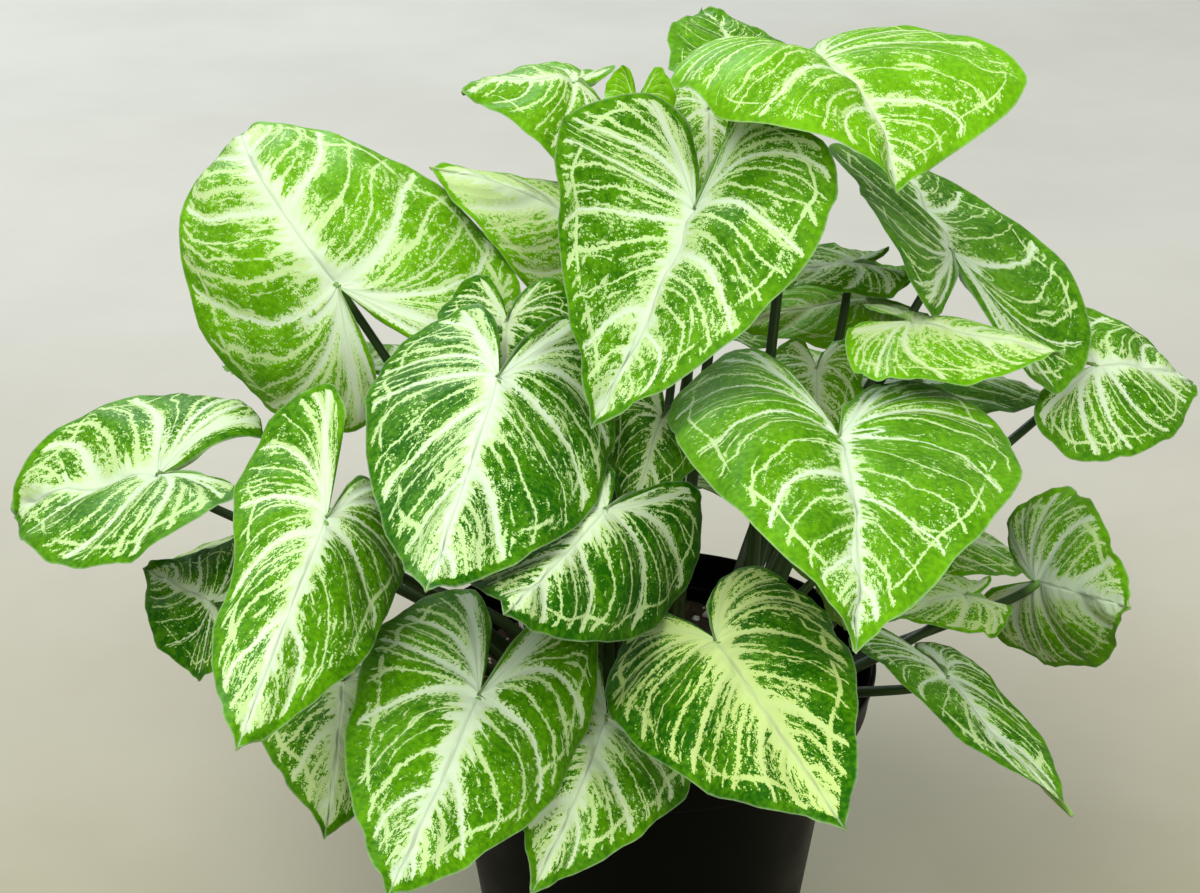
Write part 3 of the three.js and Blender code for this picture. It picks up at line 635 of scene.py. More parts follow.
def grow_leaf(leaf, materials):
    """A blade and its petiole as one piece, with the attributes that its pattern is drawn from."""
    halves = [blade_half(leaf, GRID.t, GRID.w, side) for side in (1, -1)]
    middle, ribs, reach, flat = (np.stack(pair) for pair in zip(*halves))
    on_grid = [grid[GRID.points] for grid in (middle, reach, flat)]
    blade = np.vstack(blade_skins(*on_grid))
    rings = petiole_rings(leaf)
    points = np.vstack([blade, rings.reshape(-1, 3)])
    petiole = tube_faces(len(blade), len(rings), PETIOLE_SIDES)
    mesh = new_mesh("veined_leaf_" + leaf.name, points, GRID.faces + petiole)
    place_piece(mesh, materials, "leaf", "leaf_" + leaf.name)
    mesh.polygons.foreach_set("material_index", GRID.slots + [2] * len(petiole))

    ribs, reach, flat = (grid[GRID.corner_points] for grid in (ribs, reach, flat))
    up, around = PETIOLE_CORNERS.T
    zeros = np.zeros((len(up), 3))
    for name, on_blade, on_petiole in (
        ("ribs", ribs, zeros),
        ("reach", reach, np.column_stack([up, around, 0 * up])),
        ("flat", flat, zeros + (0, 0, SEED_STEP * leaf.number)),
    ):
        values = np.vstack([on_blade, on_petiole]).astype(np.float32)
        layer = mesh.attributes.new(name, "FLOAT_VECTOR", "CORNER")
        layer.data.foreach_set("vector", values.ravel())
    look = mesh.attributes.new("look", "FLOAT_COLOR", "POINT")
    look.data.foreach_set("color", np.tile(np.array(leaf.look, np.float32), len(points)))

    # the skins lie side by side in the unwrapped square, over the petiole's narrow strip
    unwrapped = np.vstack([
        np.column_stack([
            0.25 + 0.5 * GRID.corner_slots + flat[:, 1] / (2.1 * leaf.width),
            0.12 + 0.86 * (flat[:, 0] / leaf.length + leaf.lobe) / (1 + leaf.lobe),
        ]),
        np.column_stack([0.01 + 0.98 * up, 0.01 + 0.09 * around]),
    ])
    mesh.uv_layers.new(name="OFBake").data.foreach_set("uv", unwrapped.ravel())

    ends = np.zeros(len(mesh.edges) * 2, int)
    mesh.edges.foreach_get("vertices", ends)
    is_margin = np.zeros(len(points), bool)
    is_margin[:len(GRID.on_margin)] = GRID.on_margin
    sharp = mesh.attributes.new("sharp_edge", "BOOLEAN", "EDGE")
    sharp.data.foreach_set("value", is_margin[ends.reshape(-1, 2)].all(axis=1))


# ---- node building ------------------------------------------------------------------------------

FLOAT, COLOUR = "NodeSocketFloat", "NodeSocketColor"


def feed(tree, sockets, values):
    """Each named socket linked to an output, or given a value."""
    for key, value in values.items():
        if isinstance(value, bpy.types.NodeSocket):
            tree.links.new(value, sockets[key])
        else:
            sockets[key].default_value = value


def add(tree, kind, inputs, **settings):
    """The outputs of a new node with these settings and inputs."""
    made = tree.nodes.new(kind)
    for key, value in settings.items():
        setattr(made, key, value)
    feed(tree, made.inputs, inputs)
    return made.outputs


def attribute(tree, name):
    return add(tree, "ShaderNodeAttribute", {}, attribute_name=name)


def split(tree, vector):
    return add(tree, "ShaderNodeSeparateXYZ", {0: vector})


def split_colour(tree, colour):
    return add(tree, "ShaderNodeSeparateColor", {0: colour})


def maths(tree, operation, first, *others, clamp=False):
    """One operation on a value, or on several, each result with the next one."""
    value = first
    for other in others or (0.0,):
        value = add(tree, "ShaderNodeMath", {0: value, 1: other}, operation=operation,
                    use_clamp=clamp)[0]
    return value


def ramp(tree, value, low, high, to_low=0.0, to_high=1.0, smooth=True):
    """value from low..high to to_low..to_high, held at the ends."""
    return add(tree, "ShaderNodeMapRange", {
        "Value": value, "From Min": low, "From Max": high, "To Min": to_low, "To Max": to_high,
    }, interpolation_type="SMOOTHSTEP" if smooth else "LINEAR")["Result"]


def blend(tree, share, a, b):
    """Colour a, with a share of colour b."""
    return add(tree, "ShaderNodeMix", {0: share, 6: a, 7: b}, data_type="RGBA")[2]


def specks(tree, place, scale, detail=2.0, rough=0.5):
    """Noise that lies mostly between 0.3 and 0.7."""
    return add(tree, "ShaderNodeTexNoise", {
        "Vector": place, "Scale": scale, "Detail": detail, "Roughness": rough,
    })["Fac"]


def bump(tree, height, strength, depth, invert=False):
    """The normal that a height gives, where a height of 1 is this deep in millimetres."""
    return add(tree, "ShaderNodeBump", {
        "Height": height, "Strength": strength, "Distance": depth * MM,
    }, invert=invert)["Normal"]


def new_group(name, inputs, outputs):
    """A node group with number inputs: its tree, what comes in, and where its results go."""
    tree = bpy.data.node_groups.new(name, "ShaderNodeTree")
    for socket, value in inputs.items():
        made = tree.interface.new_socket(socket, in_out="INPUT", socket_type=FLOAT)
        made.default_value = value
    for socket, kind in outputs.items():
        tree.interface.new_socket(socket, in_out="OUTPUT", socket_type=kind)
    return tree, tree.nodes.new("NodeGroupInput").outputs, tree.nodes.new("NodeGroupOutput").inputs


def put_group(tree, group, inputs):
    return add(tree, "ShaderNodeGroup", inputs, node_tree=group)


def new_material(name):
    """A material with a plain Principled shader, its tree, and the shader."""
    material = bpy.data.materials.new(name)
    material.use_nodes = True
    return material, material.node_tree, material.node_tree.nodes["Principled BSDF"]


# ---- the blades' pattern ------------------------------------------------------------------------

def make_variegation():
    """Cream along the veins, breaking into flecks away from them, and the veins' fine lines.

    Its distances are millimetres on a blade of the width that the pattern is drawn for.
    """
    tree, given, result = new_group(
        "leaf_variegation",
        {"Spread": 1.0},
        {"Cream": FLOAT, "White": FLOAT, "Line": FLOAT, "Edge": FLOAT, "Height": FLOAT},
    )

    def times(*values):
        return maths(tree, "MULTIPLY", *values)

    def plus(*values):
        return maths(tree, "ADD", *values)

    def less(value, taken, clamp=False):
        return maths(tree, "SUBTRACT", value, taken, clamp=clamp)

    def near(distance, width):
        """1 on a line, falling to 0 at width from it."""
        return less(1.0, maths(tree, "DIVIDE", distance, width), clamp=True)

    def band(distance, own_gap, width):
        """The same, with the width held to less than half of the gap to the next line."""
        return near(distance, maths(tree, "MINIMUM", width, times(own_gap, 0.45)))

    # what every blade carries, as blade_half and the leaves' table give it
    flat = attribute(tree, "flat")["Vector"]
    seed = split(tree, flat)[2]
    count, gap, edge = split(tree, attribute(tree, "ribs")["Vector"])
    middle, notch, out = split(tree, attribute(tree, "reach")["Vector"])
    cream_share, flecks, _ = split_colour(tree, attribute(tree, "look")["Color"])
    spread = times(cream_share, given["Spread"])

    sway = less(specks(tree, flat, 0.09), 0.5)
    count = plus(count, times(sway, 0.2, out))

    def ribs_of(per_main, shift, stray):
        """The nearest rib's distance, the gap between such ribs, and the rib's own random number."""
        away = less(specks(tree, flat, 0.03 + 0.006 * per_main, 1.0), 0.5)
        place = plus(times(plus(count, times(away, stray, out)), float(per_main)), shift)
        whole = maths(tree, "ROUND", place)
        off = maths(tree, "ABSOLUTE", less(place, whole))
        own_gap = times(gap, 1.0 / per_main)
        number = plus(whole, plus(seed, 0.37 * per_main))
        luck = add(tree, "ShaderNodeTexWhiteNoise", {"W": number}, noise_dimensions="1D")["Value"]
        return times(off, own_gap), own_gap, luck

    def along_ribs(across, along, shift, detail, rough=0.5):
        """Specks drawn out along the ribs."""
        place = add(tree, "ShaderNodeCombineXYZ", {
            0: times(count, across), 1: times(out, along), 2: plus(seed, shift),
        })[0]
        return specks(tree, place, 1.0, detail, rough)

    main, main_gap, main_luck = ribs_of(1, 0.0, 0.0)
    fine, fine_gap, fine_luck = ribs_of(FINE_RIBS, 0.0, 0.4)
    hair, hair_gap, hair_luck = ribs_of(HAIR_RIBS, 0.5, 0.35)

    # a green hem is left round the blade, and spikes and barbs fray the cream's edges
    hem = ramp(tree, flecks, 0.2, 0.9, 5.5, 2.8, smooth=False)
    inside = ramp(tree, edge, times(hem, 0.3), hem)
    spikes = ramp(tree, specks(tree, flat, 0.7), 0.35, 0.65, 0.5, 1.6)
    barbs = ramp(tree, along_ribs(13.0, 4.0, 3.0, 2.0), 0.35, 0.65, 0.5, 1.7)

    # how far the cream reaches out from the midrib, the main ribs, the fine ribs and the hairs
    mid_width = times(ramp(tree, notch, 0, 95, 6.6, 2.4, smooth=False), spread)
    rib_width = times(
        ramp(tree, out, 0.0, 0.75, 3.6, 1.2), spread,
        ramp(tree, main_luck, 0, 1, 0.3, 1.35, smooth=False),
    )
    fine_width = times(ramp(tree, fine_luck, 0, 1, 0.35, 1.5, smooth=False), spread)
    rib_field = times(band(times(main, spikes), main_gap, rib_width), inside)
    fine_field = times(band(times(fine, spikes), fine_gap, fine_width), inside,
                       ramp(tree, fine_gap, 1.0, 4.0, 0.0, 0.9))
    dashes = ramp(tree, along_ribs(5.0, 6.0, 9.0, 1.0), 0.42, 0.6)
    hair_strength = times(ramp(tree, hair_luck, 0.15, 1, 0.2, 0.8, smooth=False), dashes)
    hair_field = times(band(hair, hair_gap, 0.9), inside, hair_strength,
                       ramp(tree, hair_gap, 1.0, 2.4))

    # a burst at the notch, and a broken ring of the vein that runs round inside the margin
    burst = ramp(tree, maths(tree, "DIVIDE", notch, spread), 2, 8, 1, 0)
    scallop = times(maths(tree, "COSINE", times(count, 2 * math.pi)), -1.3)
    ring = maths(tree, "ABSOLUTE", less(plus(edge, scallop), RING_INSET))
    ring_luck = ramp(tree, specks(tree, flat, 0.045, 1.0), 0.35, 0.62, 0.2, 0.95)
    ring_field = times(near(ring, times(spread, 1.1)), ring_luck, ramp(tree, middle, 4, 12))
    vein = maths(tree, "MAXIMUM", near(times(middle, barbs), mid_width), rib_field, burst)
    vein = times(vein, ramp(tree, edge, 0.5, 4.5))
    field = maths(tree, "MAXIMUM", vein, ring_field, fine_field, hair_field)

    # flecks: round grains, and strokes that run out along the ribs, thicker in some patches
    patch = ramp(tree, specks(tree, flat, 0.06, 1.0), 0.35, 0.65, -0.12, 0.14, smooth=False)
    spray = maths(tree, "MAXIMUM", near(middle, times(spread, 16.0)),
                  band(main, main_gap, times(rib_width, 2.6)))
    ground = plus(patch, ramp(tree, flecks, 0, 1, -0.04, 0.32, smooth=False), times(spray, 0.3))
    grains = less(specks(tree, flat, 1.9, 2.0, 0.6), 0.5)
    strokes = less(along_ribs(24.0, 16.0, 0.0, 2.0, 0.6), 0.5)
    uneven = times(plus(times(grains, 1.4), times(strokes, 1.5)),
                   ramp(tree, edge, 0.0, 7.0, 0.35, 1.0))
    cream = ramp(tree, plus(field, times(ground, inside), uneven), 0.42, 0.58)

    # salt: small dots in some of the cells that the blade is divided into
    cells = add(tree, "ShaderNodeTexVoronoi", {"Vector": flat, "Scale": 0.75})
    cover = times(ramp(tree, flecks, 0, 1, 0.2, 0.9, smooth=False), inside,
                  ramp(tree, patch, -0.12, 0.14, 0.5, 1.2))
    size = less(plus(split_colour(tree, cells["Color"])[0], cover), 1.0, clamp=True)
    dots = near(cells["Distance"], plus(times(size, 0.85), 0.001))
    cream = maths(tree, "MAXIMUM", cream, ramp(tree, dots, 0.0, 0.45, 0.0, 0.85))

    swell = maths(tree, "MINIMUM", ramp(tree, main, 0, 5), ramp(tree, middle, 0, 1.2, 0.2, 1.0),
                  ramp(tree, fine, 0, 3.0, 0.45, 1.0))
    feed(tree, result, {
        "Cream": cream,
        "White": ramp(tree, vein, 0.2, 0.75),
        "Line": maths(tree, "MAXIMUM", near(middle, 0.5), times(near(edge, 0.7), 0.6)),
        "Edge": ramp(tree, edge, 0.0, 7.0, 1.0, 0.0),
        "Height": plus(times(swell, 0.8), times(specks(tree, flat, 1.4), 0.10)),
    })
    return tree


DEEP_GREEN = (0.009, 0.075, 0.0005, 1)
BRIGHT_GREEN = (0.125, 0.34, 0.003, 1)
HALO_GREEN = (0.24, 0.50, 0.04, 1)
PALE_CREAM = (0.455, 0.55, 0.425, 1)
LEAF_CREAM = (0.375, 0.51, 0.235, 1)
YELLOW_CREAM = (0.37, 0.48, 0.14, 1)
VEIN_LINE = (0.30, 0.38, 0.24, 1)
UNDER_GREEN = (0.26, 0.42, 0.10, 1)


def make_leaf_colouring():
    """The pattern's colours: green, a yellower halo, cream, the veins' lines, and a paler back."""
    tree, given, result = new_group(
        "leaf_colouring",
        {"Cream": 0.0, "White": 0.0, "Line": 0.0, "Edge": 0.0, "Paleness": 0.0},
        {"Colour": COLOUR},
    )
    look = attribute(tree, "look")
    flat = attribute(tree, "flat")["Vector"]
    cloud = ramp(tree, specks(tree, flat, 0.05, 3.0), 0.3, 0.7, -0.13, 0.13)
    mottle = ramp(tree, specks(tree, flat, 0.45, 3.0), 0.3, 0.7, -0.16, 0.16)
    tone = maths(tree, "ADD", split_colour(tree, look["Color"])[2],
                 maths(tree, "ADD", cloud, mottle))
    tone = maths(tree, "ADD", tone, maths(tree, "MULTIPLY", given["Edge"], 0.06), clamp=True)
    green = blend(tree, tone, DEEP_GREEN, BRIGHT_GREEN)
    cream = blend(tree, given["White"], LEAF_CREAM, PALE_CREAM)
    cream = blend(tree, look["Alpha"], cream, YELLOW_CREAM)
    halo = blend(tree, 0.55, green, HALO_GREEN)
    colour = blend(tree, ramp(tree, given["Cream"], 0.0, 0.45, smooth=False), green, halo)
    colour = blend(tree, ramp(tree, given["Cream"], 0.3, 1.0, smooth=False), colour, cream)
    colour = blend(tree, maths(tree, "MULTIPLY", given["Line"], 0.75), colour, VEIN_LINE)
    feed(tree, result, {"Colour": blend(tree, given["Paleness"], colour, UNDER_GREEN)})
    return tree


def make_mottle():
    """Soft cloudy unevenness, with a finer grain over it."""
    tree, given, result = new_group(
        "surface_mottle",
        {"Cloud Scale": 60.0, "Grain Scale": 900.0, "Grain": 0.4},
        {"Cloud": FLOAT, "Height": FLOAT},
    )
    place = add(tree, "ShaderNodeTexCoord", {})["Object"]
    cloud = specks(tree, place, given["Cloud Scale"], 3.0)
    grain = specks(tree, place, given["Grain Scale"])
    height = add(tree, "ShaderNodeMix", {0: given["Grain"], 2: cloud, 3: grain})[0]
    feed(tree, result, {"Cloud": cloud, "Height": height})
    return tree


VARIEGATION = make_variegation()
COLOURING = make_leaf_colouring()
MOTTLE = make_mottle()


# ---- materials ----------------------------------------------------------------------------------

def make_blade_material(name, spread, paleness, rough, gloss, relief, through):
    """One face of the blades, which lets a share of the light through."""
    material, tree, shader = new_material(name)
    pattern = put_group(tree, VARIEGATION, {"Spread": spread})
    masks = {mask: pattern[mask] for mask in ("Cream", "White", "Line", "Edge")}
    colour = put_group(tree, COLOURING, {**masks, "Paleness": paleness})["Colour"]
    feed(tree, shader.inputs, {
        "Base Color": colour,
        "Roughness": ramp(tree, pattern["Cream"], 0, 1, rough, rough + 0.08),
        "Specular IOR Level": gloss,
        "Specular Tint": (0.62, 0.8, 0.5, 1),
        "Normal": bump(tree, pattern["Height"], relief, 0.8, invert=paleness > 0),
    })
    glow = add(tree, "ShaderNodeBsdfTranslucent", {"Color": colour})[0]
    both = add(tree, "ShaderNodeMixShader", {0: through, 1: shader.outputs[0], 2: glow})[0]
    feed(tree, tree.nodes["Material Output"].inputs, {"Surface": both})
    return material


def make_petiole_material():
    """Dark streaky green, brownish at the foot and fresh green at the blade."""
    material, tree, shader = new_material("petiole_skin")
    up, around, _ = split(tree, attribute(tree, "reach")["Vector"])
    stripes = add(tree, "ShaderNodeCombineXYZ", {
        0: maths(tree, "MULTIPLY", up, 3.0), 1: maths(tree, "MULTIPLY", around, 30.0),
    })[0]
    streak = specks(tree, stripes, 1.0)
    dark = blend(tree, ramp(tree, streak, 0.35, 0.65), (0.010, 0.022, 0.006, 1),
                 (0.024, 0.055, 0.012, 1))
    foot = blend(tree, ramp(tree, up, 0.0, 0.35), (0.05, 0.075, 0.02, 1), dark)
    mottle = put_group(tree, MOTTLE, {"Cloud Scale": 90.0, "Grain Scale": 700.0, "Grain": 0.3})
    feed(tree, shader.inputs, {
        "Base Color": blend(tree, ramp(tree, up, 0.9, 1.0), foot, (0.10, 0.22, 0.04, 1)),
        "Roughness": ramp(tree, mottle["Cloud"], 0.3, 0.7, 0.38, 0.55),
        "Specular IOR Level": 0.2,
        "Normal": bump(tree, streak, 0.25, 0.3),
    })
    return material


def make_pot_material():
    """Black plastic, a little cloudy, with dust round its foot."""
    material, tree, shader = new_material("black_moulded_plastic")
    mottle = put_group(tree, MOTTLE, {"Cloud Scale": 28.0, "Grain Scale": 1600.0, "Grain": 0.5})
    height = split(tree, add(tree, "ShaderNodeTexCoord", {})["Object"])[2]
    dust = maths(tree, "MULTIPLY", ramp(tree, height, 0.0, 0.05, 0.5, 0.0),
                 ramp(tree, mottle["Cloud"], 0.4, 0.65))
    colour = blend(tree, dust, (0.0008, 0.0009, 0.0006, 1), (0.014, 0.013, 0.009, 1))
    feed(tree, shader.inputs, {
        "Base Color": blend(tree, ramp(tree, mottle["Cloud"], 0.45, 0.75, 0.0, 0.5), colour,
                            (0.0016, 0.0018, 0.0013, 1)),
        "Roughness": ramp(tree, mottle["Cloud"], 0.3, 0.75, 0.34, 0.5),
        "Specular IOR Level": 0.04,
        "Normal": bump(tree, mottle["Height"], 0.12, 0.2),
    })
    return material


def make_crumbly_material(name, dark, light, rough):
    """A dull rough material, mottled from dark to light."""
    material, tree, shader = new_material(name)
    mottle = put_group(tree, MOTTLE, {"Cloud Scale": 160.0, "Grain Scale": 900.0, "Grain": 0.5})
    feed(tree, shader.inputs, {
        "Base Color": blend(tree, ramp(tree, mottle["Height"], 0.38, 0.62), dark, light),
        "Roughness": ramp(tree, mottle["Cloud"], 0.3, 0.7, rough - 0.08, rough),
        "Normal": bump(tree, mottle["Height"], 0.6, 0.8),
    })
    return material


UPPER = make_blade_material("leaf_upper_face", spread=1.0, paleness=0.0, rough=0.5, gloss=0.09,
                            relief=0.7, through=0.16)
UNDER = make_blade_material("leaf_underside", spread=0.9, paleness=0.4, rough=0.62, gloss=0.15,
                            relief=0.55, through=0.25)
PETIOLE_SKIN = make_petiole_material()
BLACK_PLASTIC = make_pot_material()
POTTING_SOIL = make_crumbly_material("potting_soil", (0.012, 0.008, 0.005, 1),
                                     (0.055, 0.034, 0.02, 1), 0.98)
PERLITE = make_crumbly_material("perlite", (0.52, 0.50, 0.45, 1), (0.78, 0.77, 0.73, 1), 0.9)
BARK = make_crumbly_material("bark_chips", (0.035, 0.018, 0.009, 1), (0.12, 0.065, 0.03, 1), 0.85)


# ---- pot, soil and shoot stems ------------------------------------------------------------------

def turn_profile(name, profile, sides):
    """A profile of (radius, height), from the axis back to it, turned about the upright axis."""
    points, rings = [], []
    for radius, z in profile:
        ring = []
        for i in range(sides if radius > 0 else 1):
            a = 2 * math.pi * i / sides
            ring.append(len(points))
            points.append((radius * math.cos(a), radius * math.sin(a), z))
        rings.append(ring)
    faces = []
    for lower, upper in zip(rings, rings[1:]):
        for i in range(sides):
            loop = dict.fromkeys((
                lower[i % len(lower)], lower[(i + 1) % len(lower)],
                upper[(i + 1) % len(upper)], upper[i % len(upper)],
            ))
            if len(loop) > 2:
                faces.append(list(loop))
    return new_mesh(name, points, faces)


def rounded(profile):
    """A profile of (radius, height, rounding) with its corners cut by short arcs of that size."""
    out = []
    for k, (r, z, rounding) in enumerate(profile):
        if not rounding:
            out.append((r, z))
            continue
        here = Vector((r, z))
        before = Vector(profile[k - 1][:2]) - here
        after = Vector(profile[k + 1][:2]) - here
        size = min(rounding, before.length * 0.45, after.length * 0.45)
        start, stop = here + before.normalized() * size, here + after.normalized() * size
        for f in (0.0, 0.25, 0.5, 0.75, 1.0):
            p = start.lerp(here, f).lerp(here.lerp(stop, f), f)
            out.append((p.x, p.y))
    return out


def mould_pot():
    """The pot: a tapered wall, a collar that stands out over it, a rim band, and drain holes."""
    wall = POT_WALL
    band_bottom = POT_HEIGHT - RIM_BAND
    profile = [
        (0, 0, 0),
        (POT_BASE_RADIUS, 0, 2.5),
        (POT_SHOULDER_RADIUS, COLLAR_BOTTOM, 1.2),
        (COLLAR_RADIUS, COLLAR_BOTTOM, 1.6),
        (RIM_RADIUS - RIM_STEP, band_bottom - RIM_BEVEL, 0.8),
        (RIM_RADIUS, band_bottom, 0.9),
        (RIM_RADIUS, POT_HEIGHT, 1.1),
        (RIM_RADIUS - wall, POT_HEIGHT, 0.9),
        (COLLAR_RADIUS - wall, COLLAR_BOTTOM + wall, 2.0),
        (POT_SHOULDER_RADIUS - wall - SHOULDER_LEDGE, COLLAR_BOTTOM + wall, 1.5),
        (POT_BASE_RADIUS - wall, wall, 2.0),
        (0, wall, 0),
    ]
    mesh = turn_profile("nursery_pot", rounded(profile), POT_SIDES)
    pot = place_piece(mesh, [BLACK_PLASTIC], "pot", "pot")
    plug_profile = [(0, -wall), (DRAIN_RADIUS, -wall), (DRAIN_RADIUS, 2 * wall), (0, 2 * wall)]
    plugs = []
    for i in range(DRAIN_COUNT):
        a = 2 * math.pi * (i + 0.5) / DRAIN_COUNT
        plug_mesh = turn_profile("drain_plug", plug_profile, DRAIN_SIDES)
        plug = bpy.data.objects.new("drain_plug", plug_mesh)
        plug.location = (DRAIN_CIRCLE * math.cos(a) * MM, DRAIN_CIRCLE * math.sin(a) * MM, 0)
        bpy.context.collection.objects.link(plug)
        cut = pot.modifiers.new("drain", "BOOLEAN")
        cut.object = plug
        cut.solver = "EXACT"
        plugs.append(plug)
    bpy.context.view_layer.update()
    drained = pot.evaluated_get(bpy.context.evaluated_depsgraph_get())
    shaped = bpy.data.meshes.new_from_object(drained)
    pot.modifiers.clear()
    pot.data = shaped
    for plug in plugs:
        bpy.data.objects.remove(plug)
    shaped.set_sharp_from_angle(angle=math.radians(38))


def soil_height(x, y):
    """The soil's crumbly top, in millimetres over its mean edge."""
    r = math.hypot(x, y) / SOIL_RADIUS
    crumbs = noise.fractal(Vector((x, y, 0)) * 0.11, 0.8, 2.1, 5) * SOIL_CRUMBS
    return SOIL_RISE * (1 - r * r) + crumbs


def lay_soil():
    """One filling of soil: a crumbly top, and sides that keep clear of the pot."""
    turns = [2 * math.pi * i / SOIL_SECTORS for i in range(SOIL_SECTORS)]
    points = [(0, 0, SOIL_LEVEL + soil_height(0, 0))]
    for k in range(1, SOIL_RINGS + 1):
        r = SOIL_RADIUS * k / SOIL_RINGS
        for a in turns:
            x, y = r * math.cos(a), r * math.sin(a)
            points.append((x, y, SOIL_LEVEL + soil_height(x, y)))
    for r, z in ((SOIL_RADIUS, SOIL_SHOULDER), (SOIL_FOOT_RADIUS, SOIL_FOOT)):
        points += [(r * math.cos(a), r * math.sin(a), z) for a in turns]
    faces = []
    rings = SOIL_RINGS + 2
    for i in range(SOIL_SECTORS):
        j = (i + 1) % SOIL_SECTORS
        faces.append((0, 1 + i, 1 + j))
        for k in range(rings - 1):
            p, q = 1 + k * SOIL_SECTORS, 1 + (k + 1) * SOIL_SECTORS
            faces.append((p + i, q + i, q + j, p + j))
    last = 1 + (rings - 1) * SOIL_SECTORS
    faces.append([last + i for i in reversed(range(SOIL_SECTORS))])
    place_piece(new_mesh("crumbly_soil", points, faces), [POTTING_SOIL], "soil", "soil")


def scatter_crumbs(name, material, amount, sizes, flat, seed):
    """Grains of one kind, half sunk in the soil and clear of the petioles, as one piece."""
    chance = np.random.default_rng(seed)
    made = bmesh.new()
    placed = 0
    while placed < amount:
        r = (SOIL_RADIUS - CRUMB_INSET) * math.sqrt(chance.uniform(0, 1))
        a = chance.uniform(0, 2 * math.pi)
        x, y = r * math.cos(a), r * math.sin(a)
        size = chance.uniform(*sizes)
        spin = Euler(chance.uniform(0, 2 * math.pi, 3))
        if any(math.hypot(x - p[0], y - p[1]) < CRUMB_CLEARANCE + size for p in ROOTS.values()):
            continue
        grain = bmesh.ops.create_icosphere(made, subdivisions=2, radius=1)["verts"]
        offset = Vector(chance.uniform(-50, 50, 3))
        centre = Vector((x, y, SOIL_LEVEL + soil_height(x, y) + size * 0.25 * flat))
        for v in grain:
            p = v.co.copy()
            bulge = 1 + 0.45 * noise.noise(p * 1.1 + offset) + 0.2 * noise.noise(p * 2.9 + offset)
            p = Vector((p.x, p.y * 0.8, p.z * flat)) * size * bulge
            p.rotate(Euler((spin.x * 0.06, spin.y * 0.06, spin.z)))
            v.co = (centre + p) * MM
        placed += 1
    mesh = bpy.data.meshes.new(name)
    made.to_mesh(mesh)
    made.free()
    place_piece(mesh, [material], "soil")


def grow_shoot_stems():
    """The short stems that the petioles stand round, ringed with old scars and pointed on top."""
    points, faces = [], []
    for number, (cx, cy) in enumerate(SHOOTS.values()):
        chance = np.random.default_rng(300 + number)
        tall = chance.uniform(16, 30)
        lean = chance.uniform(-2, 2, 2)
        faces += tube_faces(len(points), STEM_RINGS, STEM_SIDES)
        for k in range(STEM_RINGS):
            f = k / (STEM_RINGS - 1)
            radius = STEM_RADIUS * (1 - 0.25 * f) + 0.35 * math.sin(f * 26) * (1 - f)
            radius *= math.sqrt(max(0.0, 1 - max(0, (f - 0.6) / 0.4) ** 2))
            radius = max(radius, 0.05)
            for i in range(STEM_SIDES):
                a = 2 * math.pi * i / STEM_SIDES
                points.append((
                    cx + lean[0] * f + radius * math.cos(a),
                    cy + lean[1] * f + radius * math.sin(a),
                    SOIL_LEVEL - STEM_DEPTH + (tall + STEM_DEPTH) * f,
                ))
    place_piece(new_mesh("shoot_stems", points, faces), [PETIOLE_SKIN], "leaf")


for leaf in leaves:
    grow_leaf(leaf, (UPPER, UNDER, PETIOLE_SKIN))
mould_pot()
lay_soil()
scatter_crumbs("perlite_grains", PERLITE, 130, (0.7, 2.3), 0.85, 7)
scatter_crumbs("bark_crumbs", BARK, 110, (1.2, 3.6), 0.45, 8)
grow_shoot_stems()


# ---- floor, light and camera --------------------------------------------------------------------

FLOOR_HALF = 6000
# painted shade: the floor's colour runs from a darker, warmer tone near the camera to its pale tone
# far away
FLOOR_NEAR_PAINTED_SHADE = (0.188, 0.170, 0.096, 1)
FLOOR_FAR = (0.306, 0.296, 0.266, 1)
FLOOR_CLOUD = (0.6, 0.6, 0.55, 1)
CAMERA_AT = (-17.28, -798.68, 617.74)
CAMERA_PITCH = 24


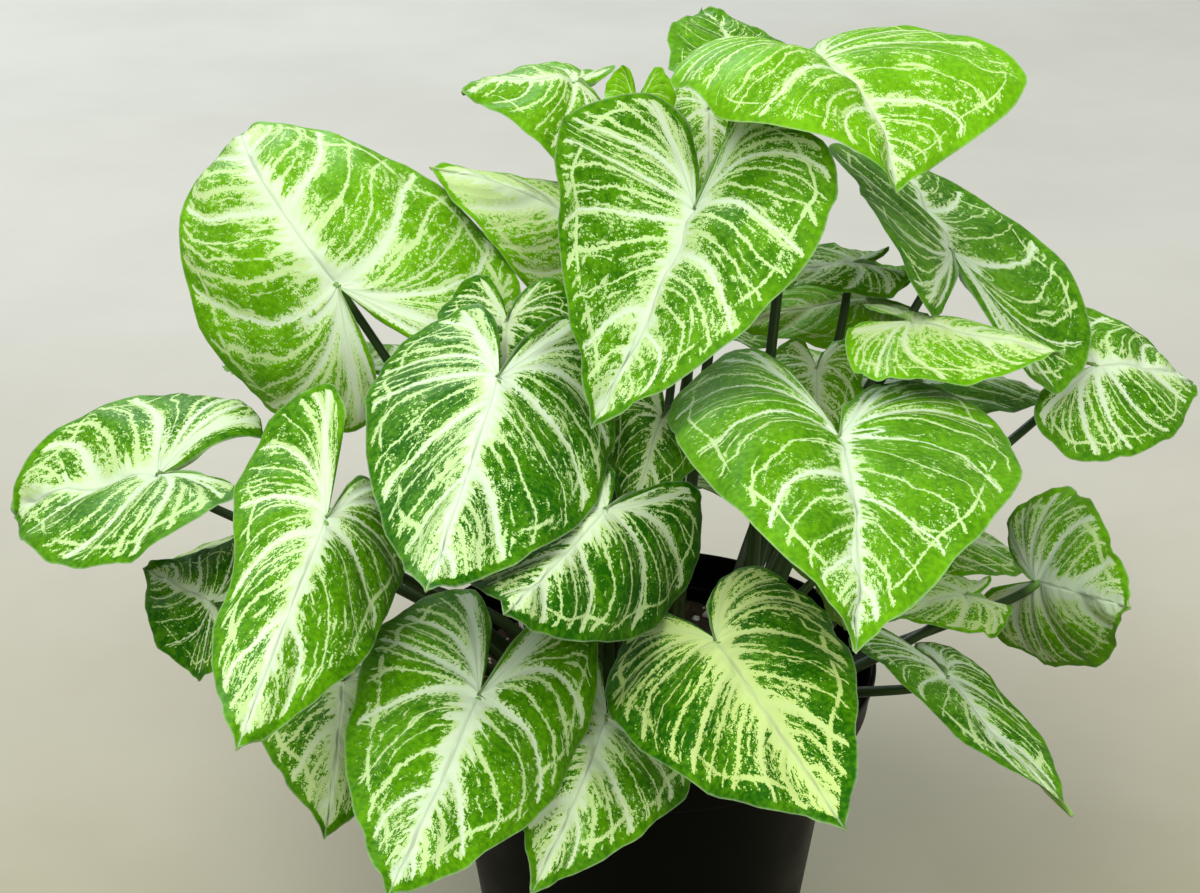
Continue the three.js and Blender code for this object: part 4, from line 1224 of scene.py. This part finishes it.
def lay_floor():
    """A pale floor just under the pot, with painted shade that makes it darker and warmer toward the
    camera.
    """
    half = FLOOR_HALF
    corners = [(-half, -half, 0), (half, -half, 0), (half, half, 0), (-half, half, 0)]
    mesh = new_mesh("pale_floor", corners, [(0, 1, 2, 3)])
    material, tree, shader = new_material("pale_floor")
    place = add(tree, "ShaderNodeTexCoord", {})["Object"]
    cloud = specks(tree, place, 2.2, 5.0, 0.6)
    # painted shade: the floor darkens and warms toward the camera
    tone = blend(tree, ramp(tree, split(tree, place)[1], -0.3, 0.9), FLOOR_NEAR_PAINTED_SHADE, FLOOR_FAR)
    feed(tree, shader.inputs, {
        "Base Color": blend(tree, ramp(tree, cloud, 0.3, 0.7, 0.0, 0.12), tone, FLOOR_CLOUD),
        "Roughness": 0.85,
    })
    mesh.materials.append(material)
    floor = bpy.data.objects.new("pale_floor", mesh)
    floor.location.z = -0.5 * MM
    bpy.context.collection.objects.link(floor)


def hang_lamp(name, at, target, size, power, tint):
    """A round soft lamp, in metres and watts."""
    lamp = bpy.data.lights.new(name, "AREA")
    lamp.shape = "DISK"
    lamp.size = size
    lamp.energy = power
    lamp.color = tint
    holder = bpy.data.objects.new(name, lamp)
    holder.location = at
    holder.rotation_euler = (Vector(target) - Vector(at)).to_track_quat("-Z", "Y").to_euler()
    bpy.context.collection.objects.link(holder)


lay_floor()
hang_lamp("key_light", (-0.8, -0.7, 3.0), (0, 0, 0.2), 2.4, 84, (1.0, 0.98, 0.90))
hang_lamp("side_light", (1.7, -1.7, 1.9), (0.1, 0, 0.25), 2.0, 50, (1.0, 1.0, 0.94))
hang_lamp("front_light", (-0.5, -2.1, 2.0), (0.05, 0, 0.25), 1.4, 56, (1.0, 1.0, 0.94))
hang_lamp("far_light", (-1.2, 3.4, 2.6), (-0.3, 2.2, 0), 1.8, 150, (0.80, 0.91, 1.0))
world = bpy.data.worlds.new("studio_air")
world.use_nodes = True
feed(world.node_tree, world.node_tree.nodes["Background"].inputs, {
    "Color": (1.0, 0.99, 0.92, 1), "Strength": 0.54,
})
bpy.context.scene.world = world
bpy.context.scene.view_settings.view_transform = "Standard"

camera = bpy.data.cameras.new("camera")
camera.sensor_width = 36
camera.lens = 67
camera.clip_start = 0.02
camera.clip_end = 40
viewer = bpy.data.objects.new("camera", camera)
viewer.location = Vector(CAMERA_AT) * MM
viewer.rotation_euler = (math.radians(90 - CAMERA_PITCH), 0, 0)
bpy.context.collection.objects.link(viewer)
bpy.context.scene.camera = viewer
